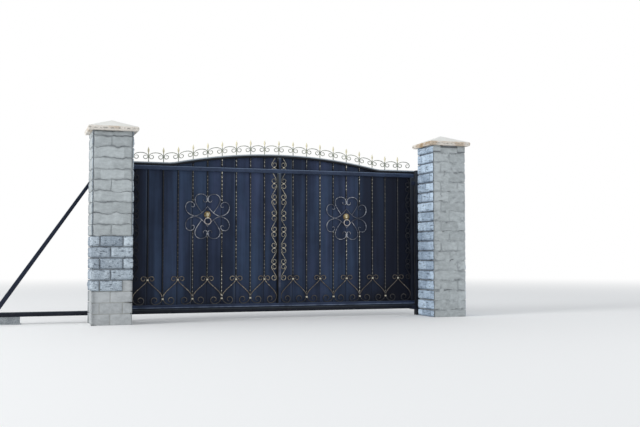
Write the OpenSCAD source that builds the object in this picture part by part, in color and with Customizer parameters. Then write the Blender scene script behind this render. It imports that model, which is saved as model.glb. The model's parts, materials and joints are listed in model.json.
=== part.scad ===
// Wrought iron driveway gate: one sliding leaf behind two block pillars.
// The origin is the middle of the left pillar's foot. X runs along the gate to the right,
// Y runs from the street into the yard, and Z points up. Sizes are in millimetres.

/* [Pillars] */
// Clear width between the two pillars
clear_w = 4400; // [4000:10:5000]
// Width and depth of each pillar
pillar_w = 560; // [480:10:640]
// Height of the pillars, up to the underside of the caps
pillar_h = 2576; // [2500:4:3000]
// How far a cap stands out past its pillar
cap_overhang = 50; // [40:2:100]
// Thickness of a cap at its edge
cap_edge = 53; // [40:1:80]
// Rise of a cap from its edge to its point
cap_rise = 122; // [60:2:200]

/* [Leaf] */
// Space between the closed leaf and the right pillar, seen along the gate
end_gap = 20; // [16:1:60]
// Space between the back of the pillars and the front of the leaf
leaf_gap = 45; // [40:1:60]
// Gap between the paving and the underside of the roller rail
ground_gap = 100; // [70:5:130]
// Side of the square frame tubes
tube = 60; // [50:1:70]
// Height of the underside of the straight upper rail
rail_z = 2130; // [2100:5:2160]
// Height of the arched top rail
top_rail_h = 50; // [40:1:60]
// Length of the level shoulder at each end of the arched rail
shoulder_w = 540; // [440:10:640]
// Rise of the arch above its shoulders
arch_rise = 170; // [120:5:180]
// Radius of the hollow where the arch leaves a shoulder
shoulder_r = 600; // [300:50:900]
// Thickness of the sheet metal
sheet_t = 2; // [1.5:0.5:4]
// How far the face of the sheet lies behind the face of the frame
sheet_recess = 36; // [34:1:40]

/* [Wrought work] */
// Side of the square bars that are twisted
bar_t = 14; // [12:1:16]
// Number of bays between bars on each half
bays = 10; // [10]
// Width of the bay beside the centre stile; the others share what is left
first_bay = 190; // [180:2:210]
// Width of the stock of hearts and rosettes, seen from the street
stock_w = 11; // [10:0.5:13]
// Width of the stock of the border chains and the cresting
chain_w = 10; // [8:0.5:11]
// Depth of all scroll stock, front to back
stock_d = 12; // [10:1:14]
// Middle plane of bars and scrolls, behind the face of the frame
work_depth = 23; // [22:0.5:24]
// Depth of the collars that bind two scrolls
collar_d = 17; // [15:1:19]
// Height of a collar
collar_h = 20; // [14:1:26]
// Height of a heart's kiss above the bottom tube
heart_kiss = 352; // [320:2:380]
// Height of the middle of the rosettes
rosette_z = 1480; // [1440:5:1540]
// Distance between two kisses of a scroll chain
chain_pitch = 238; // [220:2:250]
// Outer turn of a scroll in a chain
chain_r = 38; // [34:0.5:40]

/* [Cresting] */
// Height of the stems on the top rail
stem_h = 120; // [110:1:126]
// Length of a spear point
spear_h = 94; // [80:1:100]
// Thickness of a spear point at its widest
spear_w = 32; // [24:1:38]

/* [Masks and rings] */
// Radius of a lion mask across its mane
mask_r = 50; // [44:1:54]
// Radius of a ring, to the middle of its wire
ring_r = 46; // [40:1:48]
// Radius of a ring's wire
ring_wire_r = 5; // [4:0.25:6]
// Drop from the middle of a rosette to the pivot of its ring
pivot_drop = 22; // [18:1:28]
// Clearance between a ring's wire and the bore in the lion's mouth
mouth_gap = 1.5; // [1.2:0.1:2]

/* [Roller gear] */
// Width of the roller rail
roller_rail_w = 71; // [66:1:80]
// Height of the roller rail
roller_rail_h = 60; // [54:1:66]
// Wall of the roller rail
roller_rail_wall = 4; // [3:0.5:5]
// Width of the slot under the roller rail
slot_w = 31; // [28:1:34]
// Length of the tail that balances the leaf
tail_l = 1800; // [1600:20:2200]
// Thickness of a carriage's web
web_t = 16; // [12:1:18]
// Clearance of the rollers in their rails
roller_gap = 0.5; // [0.3:0.1:1]
// Side of the guide post behind the leaf
guide_post_w = 80; // [60:5:100]
// Space between the leaf and what it passes or meets
pass_gap = 6; // [5:0.5:8]

/* [Hidden] */

$fn = 48;

// Places across the gate
half = pillar_w / 2;
leaf_w = clear_w - end_gap;
leaf_x = half + leaf_w / 2;
right_x = pillar_w + clear_w;
half_w = leaf_w / 2;
field_w = half_w - tube * 1.5;
pitch = (field_w - first_bay) / (bays - 1);
field_0 = tube / 2;

// Places from the street to the yard
leaf_front = half + leaf_gap;
leaf_mid = leaf_front + tube / 2;
leaf_back = leaf_front + tube;
sheet_y = leaf_front + sheet_recess;
work_y = leaf_front + work_depth;

// Heights
bottom_z = ground_gap + roller_rail_h;
floor_z = bottom_z + tube;
arch_z0 = rail_z + tube;
kiss_z = floor_z + heart_kiss;

// The arch: a large circle that meets each shoulder in a small hollow
arch_end = half_w - shoulder_w;
arch_r = (pow(arch_end, 2) + pow(arch_rise, 2)) / (2 * arch_rise) - shoulder_r;
arch_meet = arch_end * arch_r / (arch_r + shoulder_r);
step = pitch / 3;
first_x = field_0 + step / 2;
last_step = floor((half_w - first_x) / step);

// Rise of the smooth arch at x
function arch_curve(x) =
    let (a = abs(x))
    a >= arch_end ? 0
    : a >= arch_meet ? shoulder_r - sqrt(pow(shoulder_r, 2) - pow(arch_end - a, 2))
    : sqrt(pow(arch_r, 2) - a * a) - arch_r + arch_rise;

// Rise of a corner of the arched rail, to a tenth of a millimetre
function arch_corner(x) = round(arch_curve(x) * 10) / 10;

// Rise of the arched rail at x, along its short straight lengths
function arch(x) =
    let (a = abs(x), j = floor((a - first_x) / step), xa = first_x + j * step, t = (a - xa) / step)
    a <= first_x ? arch_corner(first_x)
    : arch_corner(xa) * (1 - t) + arch_corner(xa + step) * t;

// Corners of the arched rail's underside from x0 to x1, both on the right half
function arch_line(x0, x1) = concat(
    [[x0, arch(x0)]],
    [for (j = [0:last_step]) let (x = first_x + j * step) if (x > x0 + 1 && x < x1 - 1) [x, arch(x)]],
    [[x1, arch(x1)]]);

function flip(points) = [for (p = points) [-p.x, p.y]];
function back(points) = [for (i = [len(points) - 1:-1:0]) points[i]];
function shift(points, v) = [for (p = points) p + v];
function left_of(v) = [-v.y, v.x] / norm(v);

// Outline of a bar of width w that follows the points of a path
function bar_outline(path, w) =
    let (
        n = len(path) - 1,
        side = [for (i = [0:n]) left_of(path[min(i + 1, n)] - path[max(i - 1, 0)]) * w / 2]
    )
    concat(path + side, back(path - side));

// A spiral about c that turns from angle a0 to a1 while its radius goes from r0 to r1, first
// slowly and then faster when late is above 1
function spiral(c, r0, r1, a0, a1, late = 1) =
    let (n = ceil(abs(a1 - a0) / 20))
    [for (i = [0:n]) let (t = i / n, a = a0 + (a1 - a0) * t)
        c + (r0 + (r1 - r0) * pow(t, late)) * [cos(a), sin(a)]];

// A smooth bend from a to d, with the handles b and c; its last point is left to the next piece
function bend(a, b, c, d, n = 6) =
    [for (i = [0:n - 1]) let (t = i / n, s = 1 - t)
        s * s * s * a + 3 * s * s * t * b + 3 * s * t * t * c + t * t * t * d];

module bar(path, w) polygon(bar_outline(path, w));

// Raises a flat figure, drawn along X and Z, to the depth d about the plane y
module raised(y, d) translate([0, y + d / 2, 0]) rotate([90, 0, 0]) linear_extrude(d) children();

module box(lo, hi) translate(lo) cube(hi - lo);

module on_leaf() translate([leaf_x, 0, 0]) children();

module mirrored(side) if (side < 0) mirror([1, 0, 0]) children(); else children();

// A hole for a bolt, up through a plate that lies on the ground
module bolt_hole(x, y, r, t) translate([x, y, -1]) cylinder(r = r, h = t + 2);

pillar_color = "lightsteelblue";
cap_color = "antiquewhite";
frame_color = "#26303f";
sheet_color = "#1f2838";
bronze = "#a08d66";
gold = "#c8aa64";
steel = "#7c8188";

module pillar(x) color(pillar_color)
    translate([x - half, -half, 0]) cube([pillar_w, pillar_w, pillar_h]);

module left_pillar() pillar(0);
module right_pillar() pillar(right_x);

// A square slab with a low pyramid on it: the same gable cut along X and along Y
cap_half = half + cap_overhang;
module cap_gable() raised(0, cap_half * 2)
    polygon([[-cap_half, 0], [cap_half, 0], [cap_half, cap_edge], [0, cap_edge + cap_rise],
        [-cap_half, cap_edge]]);

module cap(x) color(cap_color) translate([x, 0, pillar_h]) intersection() {
    cap_gable();
    rotate([0, 0, 90]) cap_gable();
}

module left_cap() cap(0);
module right_cap() cap(right_x);

// Roller carriages: a bolted plate, a web through the rail's slot and two pairs of rollers
carriage_l = 300;
carriage_w = 150;
carriage_t = 12;
carriage_bolts_x = 240;
carriage_bolts_y = 90;
carriage_bolt_r = 7;
roller_r = roller_rail_h / 2 - roller_rail_wall - roller_gap;
roller_l = roller_rail_w / 2 - roller_rail_wall - web_t / 2 - 7;
roller_spacing = 180;
axle_z = ground_gap + roller_rail_h / 2;
front_carriage_x = half - carriage_l / 2 - 20;
rear_carriage_x = half - tail_l + carriage_l / 2 + 100;

module carriage(x) color(steel) translate([x, leaf_mid, 0]) {
    difference() {
        translate([-carriage_l / 2, -carriage_w / 2, 0]) cube([carriage_l, carriage_w, carriage_t]);
        for (i = [-1, 1], j = [-1, 1])
            bolt_hole(i * carriage_bolts_x / 2, j * carriage_bolts_y / 2, carriage_bolt_r, carriage_t);
    }
    translate([-carriage_l / 2 + 15, -web_t / 2, carriage_t])
        cube([carriage_l - 30, web_t, axle_z - carriage_t + roller_r / 2]);
    for (i = [-1, 1]) translate([i * roller_spacing / 2, web_t / 2 + roller_l, axle_z])
        rotate([90, 0, 0]) cylinder(r = roller_r, h = web_t + 2 * roller_l);
}

module front_carriage() carriage(front_carriage_x);
module rear_carriage() carriage(rear_carriage_x);

// Guide behind the left pillar: two rollers run in a channel on the back of the leaf
channel_w = 40;
channel_h = 30;
channel_wall = 4;
channel_z = rail_z + (tube - channel_h) / 2;
guide_x = half - 180;
guide_plate_t = 8;
guide_plate_drop = 25;
guide_plate_z = channel_z - guide_plate_drop;
guide_plate_l = 110;
guide_roller_r = channel_w / 2 - channel_wall - roller_gap;
guide_roller_h = 20;
guide_y = leaf_back + channel_w / 2;
guide_pin_r = 8;
guide_spacing = 54;
guide_post_y = leaf_back + channel_w + 50;
foot_w = 200;
foot_t = 12;
foot_bolts = 150;
foot_bolt_r = 8;
foot_front = guide_post_w / 2 + 40;

module guide_post() color(frame_color) translate([guide_x, guide_post_y + guide_post_w / 2, 0]) {
    difference() {
        translate([-foot_w / 2, -foot_front, 0]) cube([foot_w, foot_w, foot_t]);
        for (i = [-1, 1], j = [-1, 1])
            bolt_hole(i * foot_bolts / 2, foot_w / 2 - foot_front + j * foot_bolts / 2, foot_bolt_r, foot_t);
    }
    translate([-guide_post_w / 2, -guide_post_w / 2, foot_t])
        cube([guide_post_w, guide_post_w, guide_plate_z - foot_t]);
}

module top_guide() color(steel) {
    box([guide_x - guide_plate_l / 2, leaf_back + pass_gap, guide_plate_z],
        [guide_x + guide_plate_l / 2, guide_post_y + guide_post_w, guide_plate_z + guide_plate_t]);
    for (i = [-1, 1]) translate([guide_x + i * guide_spacing / 2, guide_y, 0]) {
        translate([0, 0, guide_plate_z + guide_plate_t])
            cylinder(r = guide_pin_r, h = channel_z - guide_plate_z - guide_plate_t);
        translate([0, 0, channel_z]) cylinder(r = guide_roller_r, h = guide_roller_h);
    }
}

// Post behind the right pillar, with the two catchers that take the end of the leaf
leaf_end_x = half + leaf_w;
post_w = 60;
post_d = 100;
catcher_t = 5;
catcher_l = 70;
catcher_h = 50;
post_x = leaf_end_x + pass_gap + catcher_t;
upper_catcher_z = rail_z - 120;
upper_catcher_h = 60;

module closing_post() color(frame_color)
    box([post_x, half, 0], [post_x + post_w, half + post_d, arch_z0 + top_rail_h]);

module catcher_cheeks(d, z0, z1) for (side = [-1, 1])
    translate([post_x - catcher_l, leaf_mid + side * (d / 2 + catcher_t / 2) - catcher_t / 2, z0])
        cube([catcher_l, catcher_t, z1 - z0]);

module lower_catcher() color(frame_color) {
    inner = roller_rail_w + 2 * pass_gap;
    catcher_cheeks(inner, ground_gap - pass_gap - catcher_t, ground_gap + catcher_h);
    box([post_x - catcher_l, leaf_mid - inner / 2, ground_gap - pass_gap - catcher_t],
        [post_x, leaf_mid + inner / 2, ground_gap - pass_gap]);
}

module upper_catcher() color(frame_color) {
    inner = tube + 2 * pass_gap;
    catcher_cheeks(inner, upper_catcher_z, upper_catcher_z + upper_catcher_h);
    box([post_x - catcher_t, leaf_mid - inner / 2, upper_catcher_z],
        [post_x, leaf_mid + inner / 2, upper_catcher_z + upper_catcher_h]);
}

// Roller rail: a channel with lips, open below, that runs on as the tail
rail_x0 = half - tail_l;

module roller_rail() color(frame_color) {
    w = roller_rail_w / 2;
    translate([rail_x0, leaf_mid, ground_gap]) rotate([90, 0, 90]) linear_extrude(leaf_end_x - rail_x0)
        difference() {
            translate([-w, 0]) square([roller_rail_w, roller_rail_h]);
            translate([-w + roller_rail_wall, roller_rail_wall])
                square([roller_rail_w - 2 * roller_rail_wall, roller_rail_h - 2 * roller_rail_wall]);
            translate([-slot_w / 2, -1]) square([slot_w, roller_rail_wall + 2]);
        }
}

// Frame of the leaf
tail_bay = 400;
tail_post_x = half - tail_bay - tube;

module frame_box(x0, x1, z0, z1) color(frame_color) box([x0, leaf_front, z0], [x1, leaf_back, z1]);

module bottom_tube() frame_box(tail_post_x, leaf_end_x, bottom_z, floor_z);
module left_stile() frame_box(half, half + tube, floor_z, rail_z);
module right_stile() frame_box(leaf_end_x - tube, leaf_end_x, floor_z, rail_z);
module straight_rail() frame_box(tail_post_x, leaf_end_x, rail_z, arch_z0);
module tail_post() frame_box(tail_post_x, tail_post_x + tube, floor_z, rail_z);

module centre_stile() {
    frame_box(leaf_x - tube / 2, leaf_x + tube / 2, floor_z, rail_z);
    frame_box(leaf_x - tube / 2, leaf_x + tube / 2, arch_z0, arch_z0 + arch(0));
}

// The brace is cut level where it meets the roller rail and upright where it meets the tail post
brace_foot_w = 75;
brace_head_h = 82;
brace_foot_x = rail_x0 + 30;
brace_head_z = rail_z - 75;

module tail_brace() color(frame_color) raised(leaf_mid, tube)
    polygon([[brace_foot_x, bottom_z], [brace_foot_x + brace_foot_w, bottom_z],
        [tail_post_x, brace_head_z - brace_head_h], [tail_post_x, brace_head_z]]);

module arched_rail() color(frame_color) on_leaf() raised(leaf_mid, tube) {
    right = arch_line(first_x, half_w);
    under = shift(concat(back(flip(right)), right), [0, arch_z0]);
    polygon(concat(under, back(shift(under, [0, top_rail_h]))));
}

module guide_channel() color(frame_color)
    translate([tail_post_x, leaf_back, channel_z]) rotate([90, 0, 90])
        linear_extrude(leaf_end_x - tail_post_x) difference() {
            square([channel_w, channel_h]);
            translate([channel_wall, -1])
                square([channel_w - 2 * channel_wall, channel_h - channel_wall + 1]);
        }

// Sheet metal, in four fields
module sheet(side) color(sheet_color) on_leaf() mirrored(side)
    box([field_0, sheet_y, floor_z], [field_0 + field_w, sheet_y + sheet_t, rail_z]);

module arch_sheet(side) color(sheet_color) on_leaf() mirrored(side)
    raised(sheet_y + sheet_t / 2, sheet_t) {
        edge = arch_line(field_0, arch_end);
        polygon(shift(concat(edge, [[field_0, 0]]), [0, arch_z0]));
    }

module left_sheet() sheet(-1);
module right_sheet() sheet(1);
module left_arch_sheet() arch_sheet(-1);
module right_arch_sheet() arch_sheet(1);

// Places where the wrought work meets: tops of hearts, joints of hearts, ends of a rosette
rosette_bay = 5;
horn_top = 405;
joint_top = 150;
rosette_stub = 345;
rosette_side_stub = 240;

function bar_x(k) = field_0 + first_bay + (k - 1) * pitch;
function bar_foot(k) = floor_z + (k % 2 == 1 ? horn_top : joint_top);
function rosette_reach(k) = k == rosette_bay ? rosette_stub : rosette_side_stub;

module bar_length(k, z0, z1)
    translate([bar_x(k) - bar_t / 2, work_y - bar_t / 2, z0]) cube([bar_t, bar_t, z1 - z0]);

module bars(side) color(bronze) on_leaf() mirrored(side) for (k = [1:bays - 1]) {
    if (abs(k - rosette_bay) > 1) {
        bar_length(k, bar_foot(k), rail_z);
    } else {
        bar_length(k, bar_foot(k), rosette_z - rosette_reach(k));
        bar_length(k, rosette_z + rosette_reach(k), rail_z);
    }
    top = min(arch(bar_x(k) - bar_t / 2), arch(bar_x(k) + bar_t / 2));
    if (top > 3 * bar_t) bar_length(k, arch_z0, arch_z0 + top);
}

module left_bars() bars(-1);
module right_bars() bars(1);

// The patterns are drawn for bays of this width and stretched across to the width of their bay
grid = 210;
function fit(points, w = pitch) = [for (p = points) [p.x * w / grid, p.y]];

// Right half of a heart, from its horn down to the eye that rests on the bottom tube. At its
// kiss and at its widest it keeps just clear of the next scroll.
horn = [56, heart_kiss + 15];
horn_r = 32;
eye = [100, 64];
scroll_gap = 0.05;
function heart_scroll(w) = let (k = stock_w / 2, a = (k + scroll_gap) * grid / w) fit(concat(
    back(concat(
        bend([a, heart_kiss + 6], [a, heart_kiss + 30], [30, horn.y + horn_r], [horn.x, horn.y + horn_r]),
        spiral(horn, horn_r, 14, 90, -190, 3))),
    bend([a, heart_kiss], [a + 6, heart_kiss - 60], [grid - a, 190], [grid - a, 105], 9),
    bend([grid - a, 105], [grid - a, 50], [165, k], [eye.x, k]),
    spiral(eye, eye.y - k, 20, -90, -450)), w);

module collar(x, z, w) on_leaf()
    translate([x - w / 2, work_y - collar_d / 2, z - collar_h / 2]) cube([w, collar_d, collar_h]);

pair_w = 2 * stock_w + 6;
joint_z = floor_z + 82;

module hearts(side) color(bronze) {
    on_leaf() mirrored(side) raised(work_y, stock_d) for (j = [0:bays / 2 - 1])
        translate([bar_x(2 * j + 1), floor_z]) {
            bar(heart_scroll(pitch), stock_w);
            bar(flip(heart_scroll(j == 0 ? first_bay : pitch)), stock_w);
            translate([-stock_w / 2, heart_kiss]) square([stock_w, horn_top - heart_kiss]);
            if (j < bays / 2 - 1)
                translate([pitch - stock_w / 2, joint_z - floor_z])
                    square([stock_w, joint_top - joint_z + floor_z]);
        }
    for (k = [1:bays - 1]) collar(side * bar_x(k), k % 2 == 1 ? kiss_z : joint_z, pair_w);
}

module left_hearts() hearts(-1);
module right_hearts() hearts(1);

// Rosette: a heart above and one below, and four loops whose tails enclose a diamond
function rosette_heart() = let (k = stock_w / 2) fit(concat(
    spiral([k + 30, 232], 26, 30, 20, -180),
    bend([k, 250], [k, 290], [45, 320], [94, 320]),
    bend([94, 320], [145, 320], [182, 285], [182, 235]),
    bend([182, 235], [182, 180], [128, 118], [84, 50]),
    [[84, 50]]));

function rosette_loop() = let (k = stock_w / 2) fit(concat(
    bend([-4, 147], [40, 95], [92, 22], [170, k]),
    bend([170, k], [245, k], [316, 50], [316, 126]),
    bend([316, 126], [316, 174], [290, 206], [250, 206]),
    bend([250, 206], [213, 206], [190, 182], [190, 152], 5),
    spiral([212, 152], 22, 20, 180, 330)));

module rosette(side) color(bronze) {
    x = side * bar_x(rosette_bay);
    on_leaf() translate([x, 0, rosette_z]) raised(work_y, stock_d)
        for (sx = [0, 1], sz = [0, 1]) mirror([sx, 0]) mirror([0, sz]) {
            bar(rosette_heart(), stock_w);
            bar(rosette_loop(), stock_w);
            translate([-0.01, 250]) square([stock_w / 2 + 0.01, rosette_stub - 250]);
            translate([pitch - stock_w / 2, 187]) square([stock_w, rosette_side_stub - 187]);
        }
    for (s = [-1, 1]) {
        collar(x, rosette_z + s * 250, pair_w);
        collar(x + s * 196 * pitch / grid, rosette_z, pair_w);
    }
}

module left_rosette() rosette(-1);
module right_rosette() rosette(1);

// Lion mask on the sheet, with a bore in its mouth for the ring
mask_z = rosette_z + 25;
pivot_z = rosette_z - pivot_drop;
pivot_y = work_y - stock_d / 2 - ring_wire_r - 9;
jaw_r = ring_wire_r + mouth_gap + 5;
jaw_l = 18;

// A round boss that stands out from the sheet towards the street
module boss(x, z, r, y0, y1) translate([x, y1, z]) rotate([90, 0, 0]) cylinder(r = r, h = y1 - y0);

module lion_mask(side) color(gold) on_leaf() translate([side * bar_x(rosette_bay), 0, 0]) difference() {
    union() {
        translate([0, 0, mask_z]) raised(sheet_y - 6, 12) for (a = [0:30:330]) rotate(a) {
            circle(r = mask_r * 0.8);
            translate([mask_r * 0.76, 0]) circle(r = mask_r * 0.24);
        }
        boss(0, mask_z, mask_r * 0.68, sheet_y - 22, sheet_y - 12);
        boss(0, mask_z - 2, mask_r * 0.46, sheet_y - 32, sheet_y - 22);
        boss(0, mask_z - 12, mask_r * 0.3, sheet_y - 40, sheet_y - 32);
        box([-jaw_l / 2, pivot_y, pivot_z - jaw_r], [jaw_l / 2, sheet_y, mask_z]);
        translate([-jaw_l / 2, pivot_y, pivot_z]) rotate([0, 90, 0]) cylinder(r = jaw_r, h = jaw_l);
    }
    translate([-mask_r, pivot_y, pivot_z]) rotate([0, 90, 0])
        cylinder(r = ring_wire_r + mouth_gap, h = 2 * mask_r);
}

module left_lion_mask() lion_mask(-1);
module right_lion_mask() lion_mask(1);

module ring(side) color(gold) on_leaf()
    translate([side * bar_x(rosette_bay), pivot_y, pivot_z - ring_r]) rotate([90, 0, 0])
        rotate_extrude() translate([ring_r, 0]) circle(r = ring_wire_r);

module left_ring() ring(-1);
module right_ring() ring(1);

// Chains of scrolls beside the stiles. One scroll, with its body rising to the outer side.
chain_half = chain_r + chain_w / 2;
chain_eye = chain_pitch / 2 - chain_half;
chain_lean = acos(chain_r / chain_eye);
function chain_hook() = concat(
    back(spiral([0, chain_eye], chain_r, 10, 90, 400, 1.5)),
    spiral([0, chain_eye], chain_r, chain_r, 90 - 15, chain_lean - 90));
function chain_scroll() = concat(chain_hook(), back(-chain_hook()));

chain_top_kiss = rail_z - 151;
chain_count = floor((chain_top_kiss - kiss_z + 60) / chain_pitch);

// Middle of scroll i, counted down from the highest whole one; odd ones lean the other way
function chain_z(i) = chain_top_kiss - (i + 0.5) * chain_pitch;
module chain_bar(i) translate([0, chain_z(i)])
    bar(i % 2 == 0 ? flip(chain_scroll()) : chain_scroll(), chain_w);

module chain(x, side) color(bronze) {
    on_leaf() translate([x, 0, 0]) mirrored(side) raised(work_y, stock_d) {
        for (i = [0:chain_count - 1]) chain_bar(i);
        intersection() {
            chain_bar(-1);
            translate([-chain_half, chain_top_kiss - chain_w])
                square([2 * chain_half, rail_z - chain_top_kiss + chain_w]);
        }
    }
    for (i = [0:chain_count - 1]) collar(x, chain_top_kiss - i * chain_pitch, chain_w * 2);
}

// The chain goes on above the straight rail, up to the arch
module chain_head(x, side) color(bronze) {
    on_leaf() translate([x, 0, 0]) mirrored(side) raised(work_y, stock_d) intersection() {
        union() {
            chain_bar(-1);
            chain_bar(-2);
        }
        translate([-chain_half, arch_z0]) square([2 * chain_half, arch(x)]);
    }
    collar(x, chain_top_kiss + chain_pitch, chain_w * 2);
}

chain_x = field_0 + chain_half;
end_chain_x = field_0 + field_w - chain_half;

module left_end_chain() chain(-end_chain_x, 1);
module right_end_chain() chain(end_chain_x, -1);

module left_centre_chain() {
    chain(-chain_x, -1);
    chain_head(-chain_x, -1);
}

module right_centre_chain() {
    chain(chain_x, 1);
    chain_head(chain_x, 1);
}

// Cresting: a scroll in each bay, hooped over between two stems
stem_w = 12;
hoop_eye_r = 36;
hoop_z = 72;
hoop_top = 129;
hoop_lap = 1.5;

// Right half of a hoop whose side lies at reach from its middle
function hoop(reach) = concat(
    bend([-1, hoop_top], [reach * 0.58, hoop_top], [reach, hoop_top - 20], [reach, hoop_z]),
    spiral([reach - hoop_eye_r, hoop_z], hoop_eye_r, 15, 0, -330));

function lean(points, slope) = [for (p = points) [p.x, p.y + p.x * slope]];

function crest_x(k) = k == 0 ? 0 : bar_x(k);
function crest_z(x) = arch_z0 + top_rail_h + arch(x);

module stem(x) {
    a = x - stem_w / 2;
    b = x + stem_w / 2;
    top = crest_z(x) + stem_h;
    polygon([[a, crest_z(a)], [a, top], [b, top], [b, crest_z(b)]]);
}

module cresting(side) color(bronze) on_leaf() mirrored(side) raised(leaf_mid, stock_d) {
    for (k = [(side > 0 ? 0 : 1):bays - 1]) stem(crest_x(k));
    for (k = [0:bays - 1]) {
        x0 = crest_x(k) + (k == 0 && side < 0 ? hoop_lap : 0);
        x1 = crest_x(k + 1);
        slope = (crest_z(x1) - crest_z(x0)) / (x1 - x0);
        path = hoop((x1 - x0 - stem_w - chain_w) / 2 + hoop_lap);
        translate([(x0 + x1) / 2, (crest_z(x0) + crest_z(x1)) / 2]) {
            bar(lean(path, slope), chain_w);
            bar(lean(flip(path), slope), chain_w);
        }
    }
}

module left_cresting() cresting(-1);
module right_cresting() cresting(1);

module spear(x) translate([x, leaf_mid, crest_z(x) + stem_h]) rotate_extrude()
    polygon([[0, 0], [stem_w / 2, 0], [stem_w / 2, 8], [spear_w * 0.42, 28], [spear_w / 2, 42],
        [spear_w * 0.4, 62], [1.5, spear_h], [0, spear_h]]);

module spear_points() color(gold) on_leaf() for (k = [-(bays - 1):bays - 1])
    spear(sign(k) * crest_x(abs(k)));

left_pillar();
right_pillar();
left_cap();
right_cap();
front_carriage();
rear_carriage();
guide_post();
top_guide();
closing_post();
lower_catcher();
upper_catcher();
roller_rail();
bottom_tube();
left_stile();
right_stile();
centre_stile();
straight_rail();
arched_rail();
guide_channel();
tail_post();
tail_brace();
left_sheet();
right_sheet();
left_arch_sheet();
right_arch_sheet();
left_bars();
right_bars();
left_hearts();
right_hearts();
left_rosette();
right_rosette();
left_lion_mask();
right_lion_mask();
left_ring();
right_ring();
left_end_chain();
left_centre_chain();
right_centre_chain();
right_end_chain();
left_cresting();
right_cresting();
spear_points();
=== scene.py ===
import json
import math
import random

import bmesh
import bpy
from mathutils import Matrix, Vector, noise


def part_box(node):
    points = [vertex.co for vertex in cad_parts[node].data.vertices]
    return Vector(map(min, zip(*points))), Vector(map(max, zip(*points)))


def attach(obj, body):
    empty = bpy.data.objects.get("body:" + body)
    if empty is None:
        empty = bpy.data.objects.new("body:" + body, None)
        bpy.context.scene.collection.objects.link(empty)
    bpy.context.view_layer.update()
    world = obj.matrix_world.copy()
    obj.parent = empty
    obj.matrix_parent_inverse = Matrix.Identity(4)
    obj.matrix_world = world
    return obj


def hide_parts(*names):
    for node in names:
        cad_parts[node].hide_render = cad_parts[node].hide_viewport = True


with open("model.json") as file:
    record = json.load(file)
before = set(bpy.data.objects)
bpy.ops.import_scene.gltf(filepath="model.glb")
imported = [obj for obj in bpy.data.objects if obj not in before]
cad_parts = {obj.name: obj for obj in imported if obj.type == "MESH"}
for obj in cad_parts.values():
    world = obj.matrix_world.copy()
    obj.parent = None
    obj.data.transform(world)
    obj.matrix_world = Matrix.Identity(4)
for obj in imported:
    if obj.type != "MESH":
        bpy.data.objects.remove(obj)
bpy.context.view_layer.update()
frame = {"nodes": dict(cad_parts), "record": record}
mm = 0.001
sides = ((-1, "left"), (1, "right"))
print("frame loaded")


# Shader maths: a wrapped socket can be added, multiplied and so on like a number

class Link:
    def __init__(self, nodes, out):
        self.nodes = nodes
        self.out = out

    def maths(self, operation, *values):
        return self.nodes.node("ShaderNodeMath", {"operation": operation}, dict(enumerate(values)))

    def __add__(self, other):
        return self.maths("ADD", self, other)

    def __radd__(self, other):
        return self.maths("ADD", other, self)

    def __sub__(self, other):
        return self.maths("SUBTRACT", self, other)

    def __rsub__(self, other):
        return self.maths("SUBTRACT", other, self)

    def __mul__(self, other):
        return self.maths("MULTIPLY", self, other)

    def __rmul__(self, other):
        return self.maths("MULTIPLY", other, self)

    def __abs__(self):
        return self.maths("ABSOLUTE", self)

    def nearest(self, step):  # how far it is from the nearest multiple of step
        return self.maths("PINGPONG", self, step / 2)

    def ease(self, low, high):  # 0 below low, 1 above high, smooth between
        return self.nodes.node("ShaderNodeMapRange", {"interpolation_type": "SMOOTHSTEP"},
                               {0: self, 1: low, 2: high, 3: 0.0, 4: 1.0})


class Nodes:  # the nodes of a material or of the world
    def __init__(self, owner):
        owner.use_nodes = True
        self.tree = owner.node_tree

    def node(self, kind, settings, sockets, output=0):
        made = self.tree.nodes.new(kind)
        for name, value in settings.items():
            setattr(made, name, value)
        for name, value in sockets.items():
            if isinstance(value, Link):
                self.tree.links.new(value.out, made.inputs[name])
            else:
                made.inputs[name].default_value = value
        return Link(self, made.outputs[output])

    def show(self, link, outputNode):
        self.tree.links.new(link.out, self.tree.nodes[outputNode].inputs["Surface"])


class Shader(Nodes):
    def __init__(self, name, **constants):
        self.material = bpy.data.materials.new(name)
        super().__init__(self.material)
        self.surface = self.tree.nodes["Principled BSDF"]
        for socketName, value in constants.items():
            self.surface.inputs[socketName.replace("_", " ")].default_value = value
        self.place = self.node("ShaderNodeTexCoord", {}, {}, "Object")

    def axis(self, name, normal=False):  # one coordinate of the place or of the normal
        source = self.node("ShaderNodeTexCoord", {}, {}, "Normal") if normal else self.place
        return self.node("ShaderNodeSeparateXYZ", {}, {0: source}, name)

    def product(self, one, other):  # of two vectors or colours
        return self.node("ShaderNodeVectorMath", {"operation": "MULTIPLY"}, {0: one, 1: other})

    def grain(self, scale, detail=3.0, rough=0.55, stretch=(1, 1, 1)):
        return self.node("ShaderNodeTexNoise", {}, {
            "Vector": self.product(self.place, stretch), "Scale": scale, "Detail": detail,
            "Roughness": rough})

    def cells(self, scale):
        return self.node("ShaderNodeTexVoronoi", {}, {"Vector": self.place, "Scale": scale})

    def attribute(self, name):
        return self.node("ShaderNodeAttribute", {"attribute_name": name}, {}, "Fac")

    def mix(self, mask, low, high):
        return self.node("ShaderNodeMix", {"data_type": "RGBA"}, {0: mask, 6: low, 7: high}, 2)

    def feed(self, socketName, link):
        self.tree.links.new(link.out, self.surface.inputs[socketName])

    def relief(self, height, distance, strength=1.0):
        self.feed("Normal", self.node("ShaderNodeBump", {}, {
            "Strength": strength, "Distance": distance, "Height": height}))


def paint(red, green, blue):  # a screen colour, 0 to 255, as the shader takes it
    return tuple(((c / 255 + 0.055) / 1.055) ** 2.4 for c in (red, green, blue)) + (1.0,)


# Places on the leaf, taken from the frame

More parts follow.
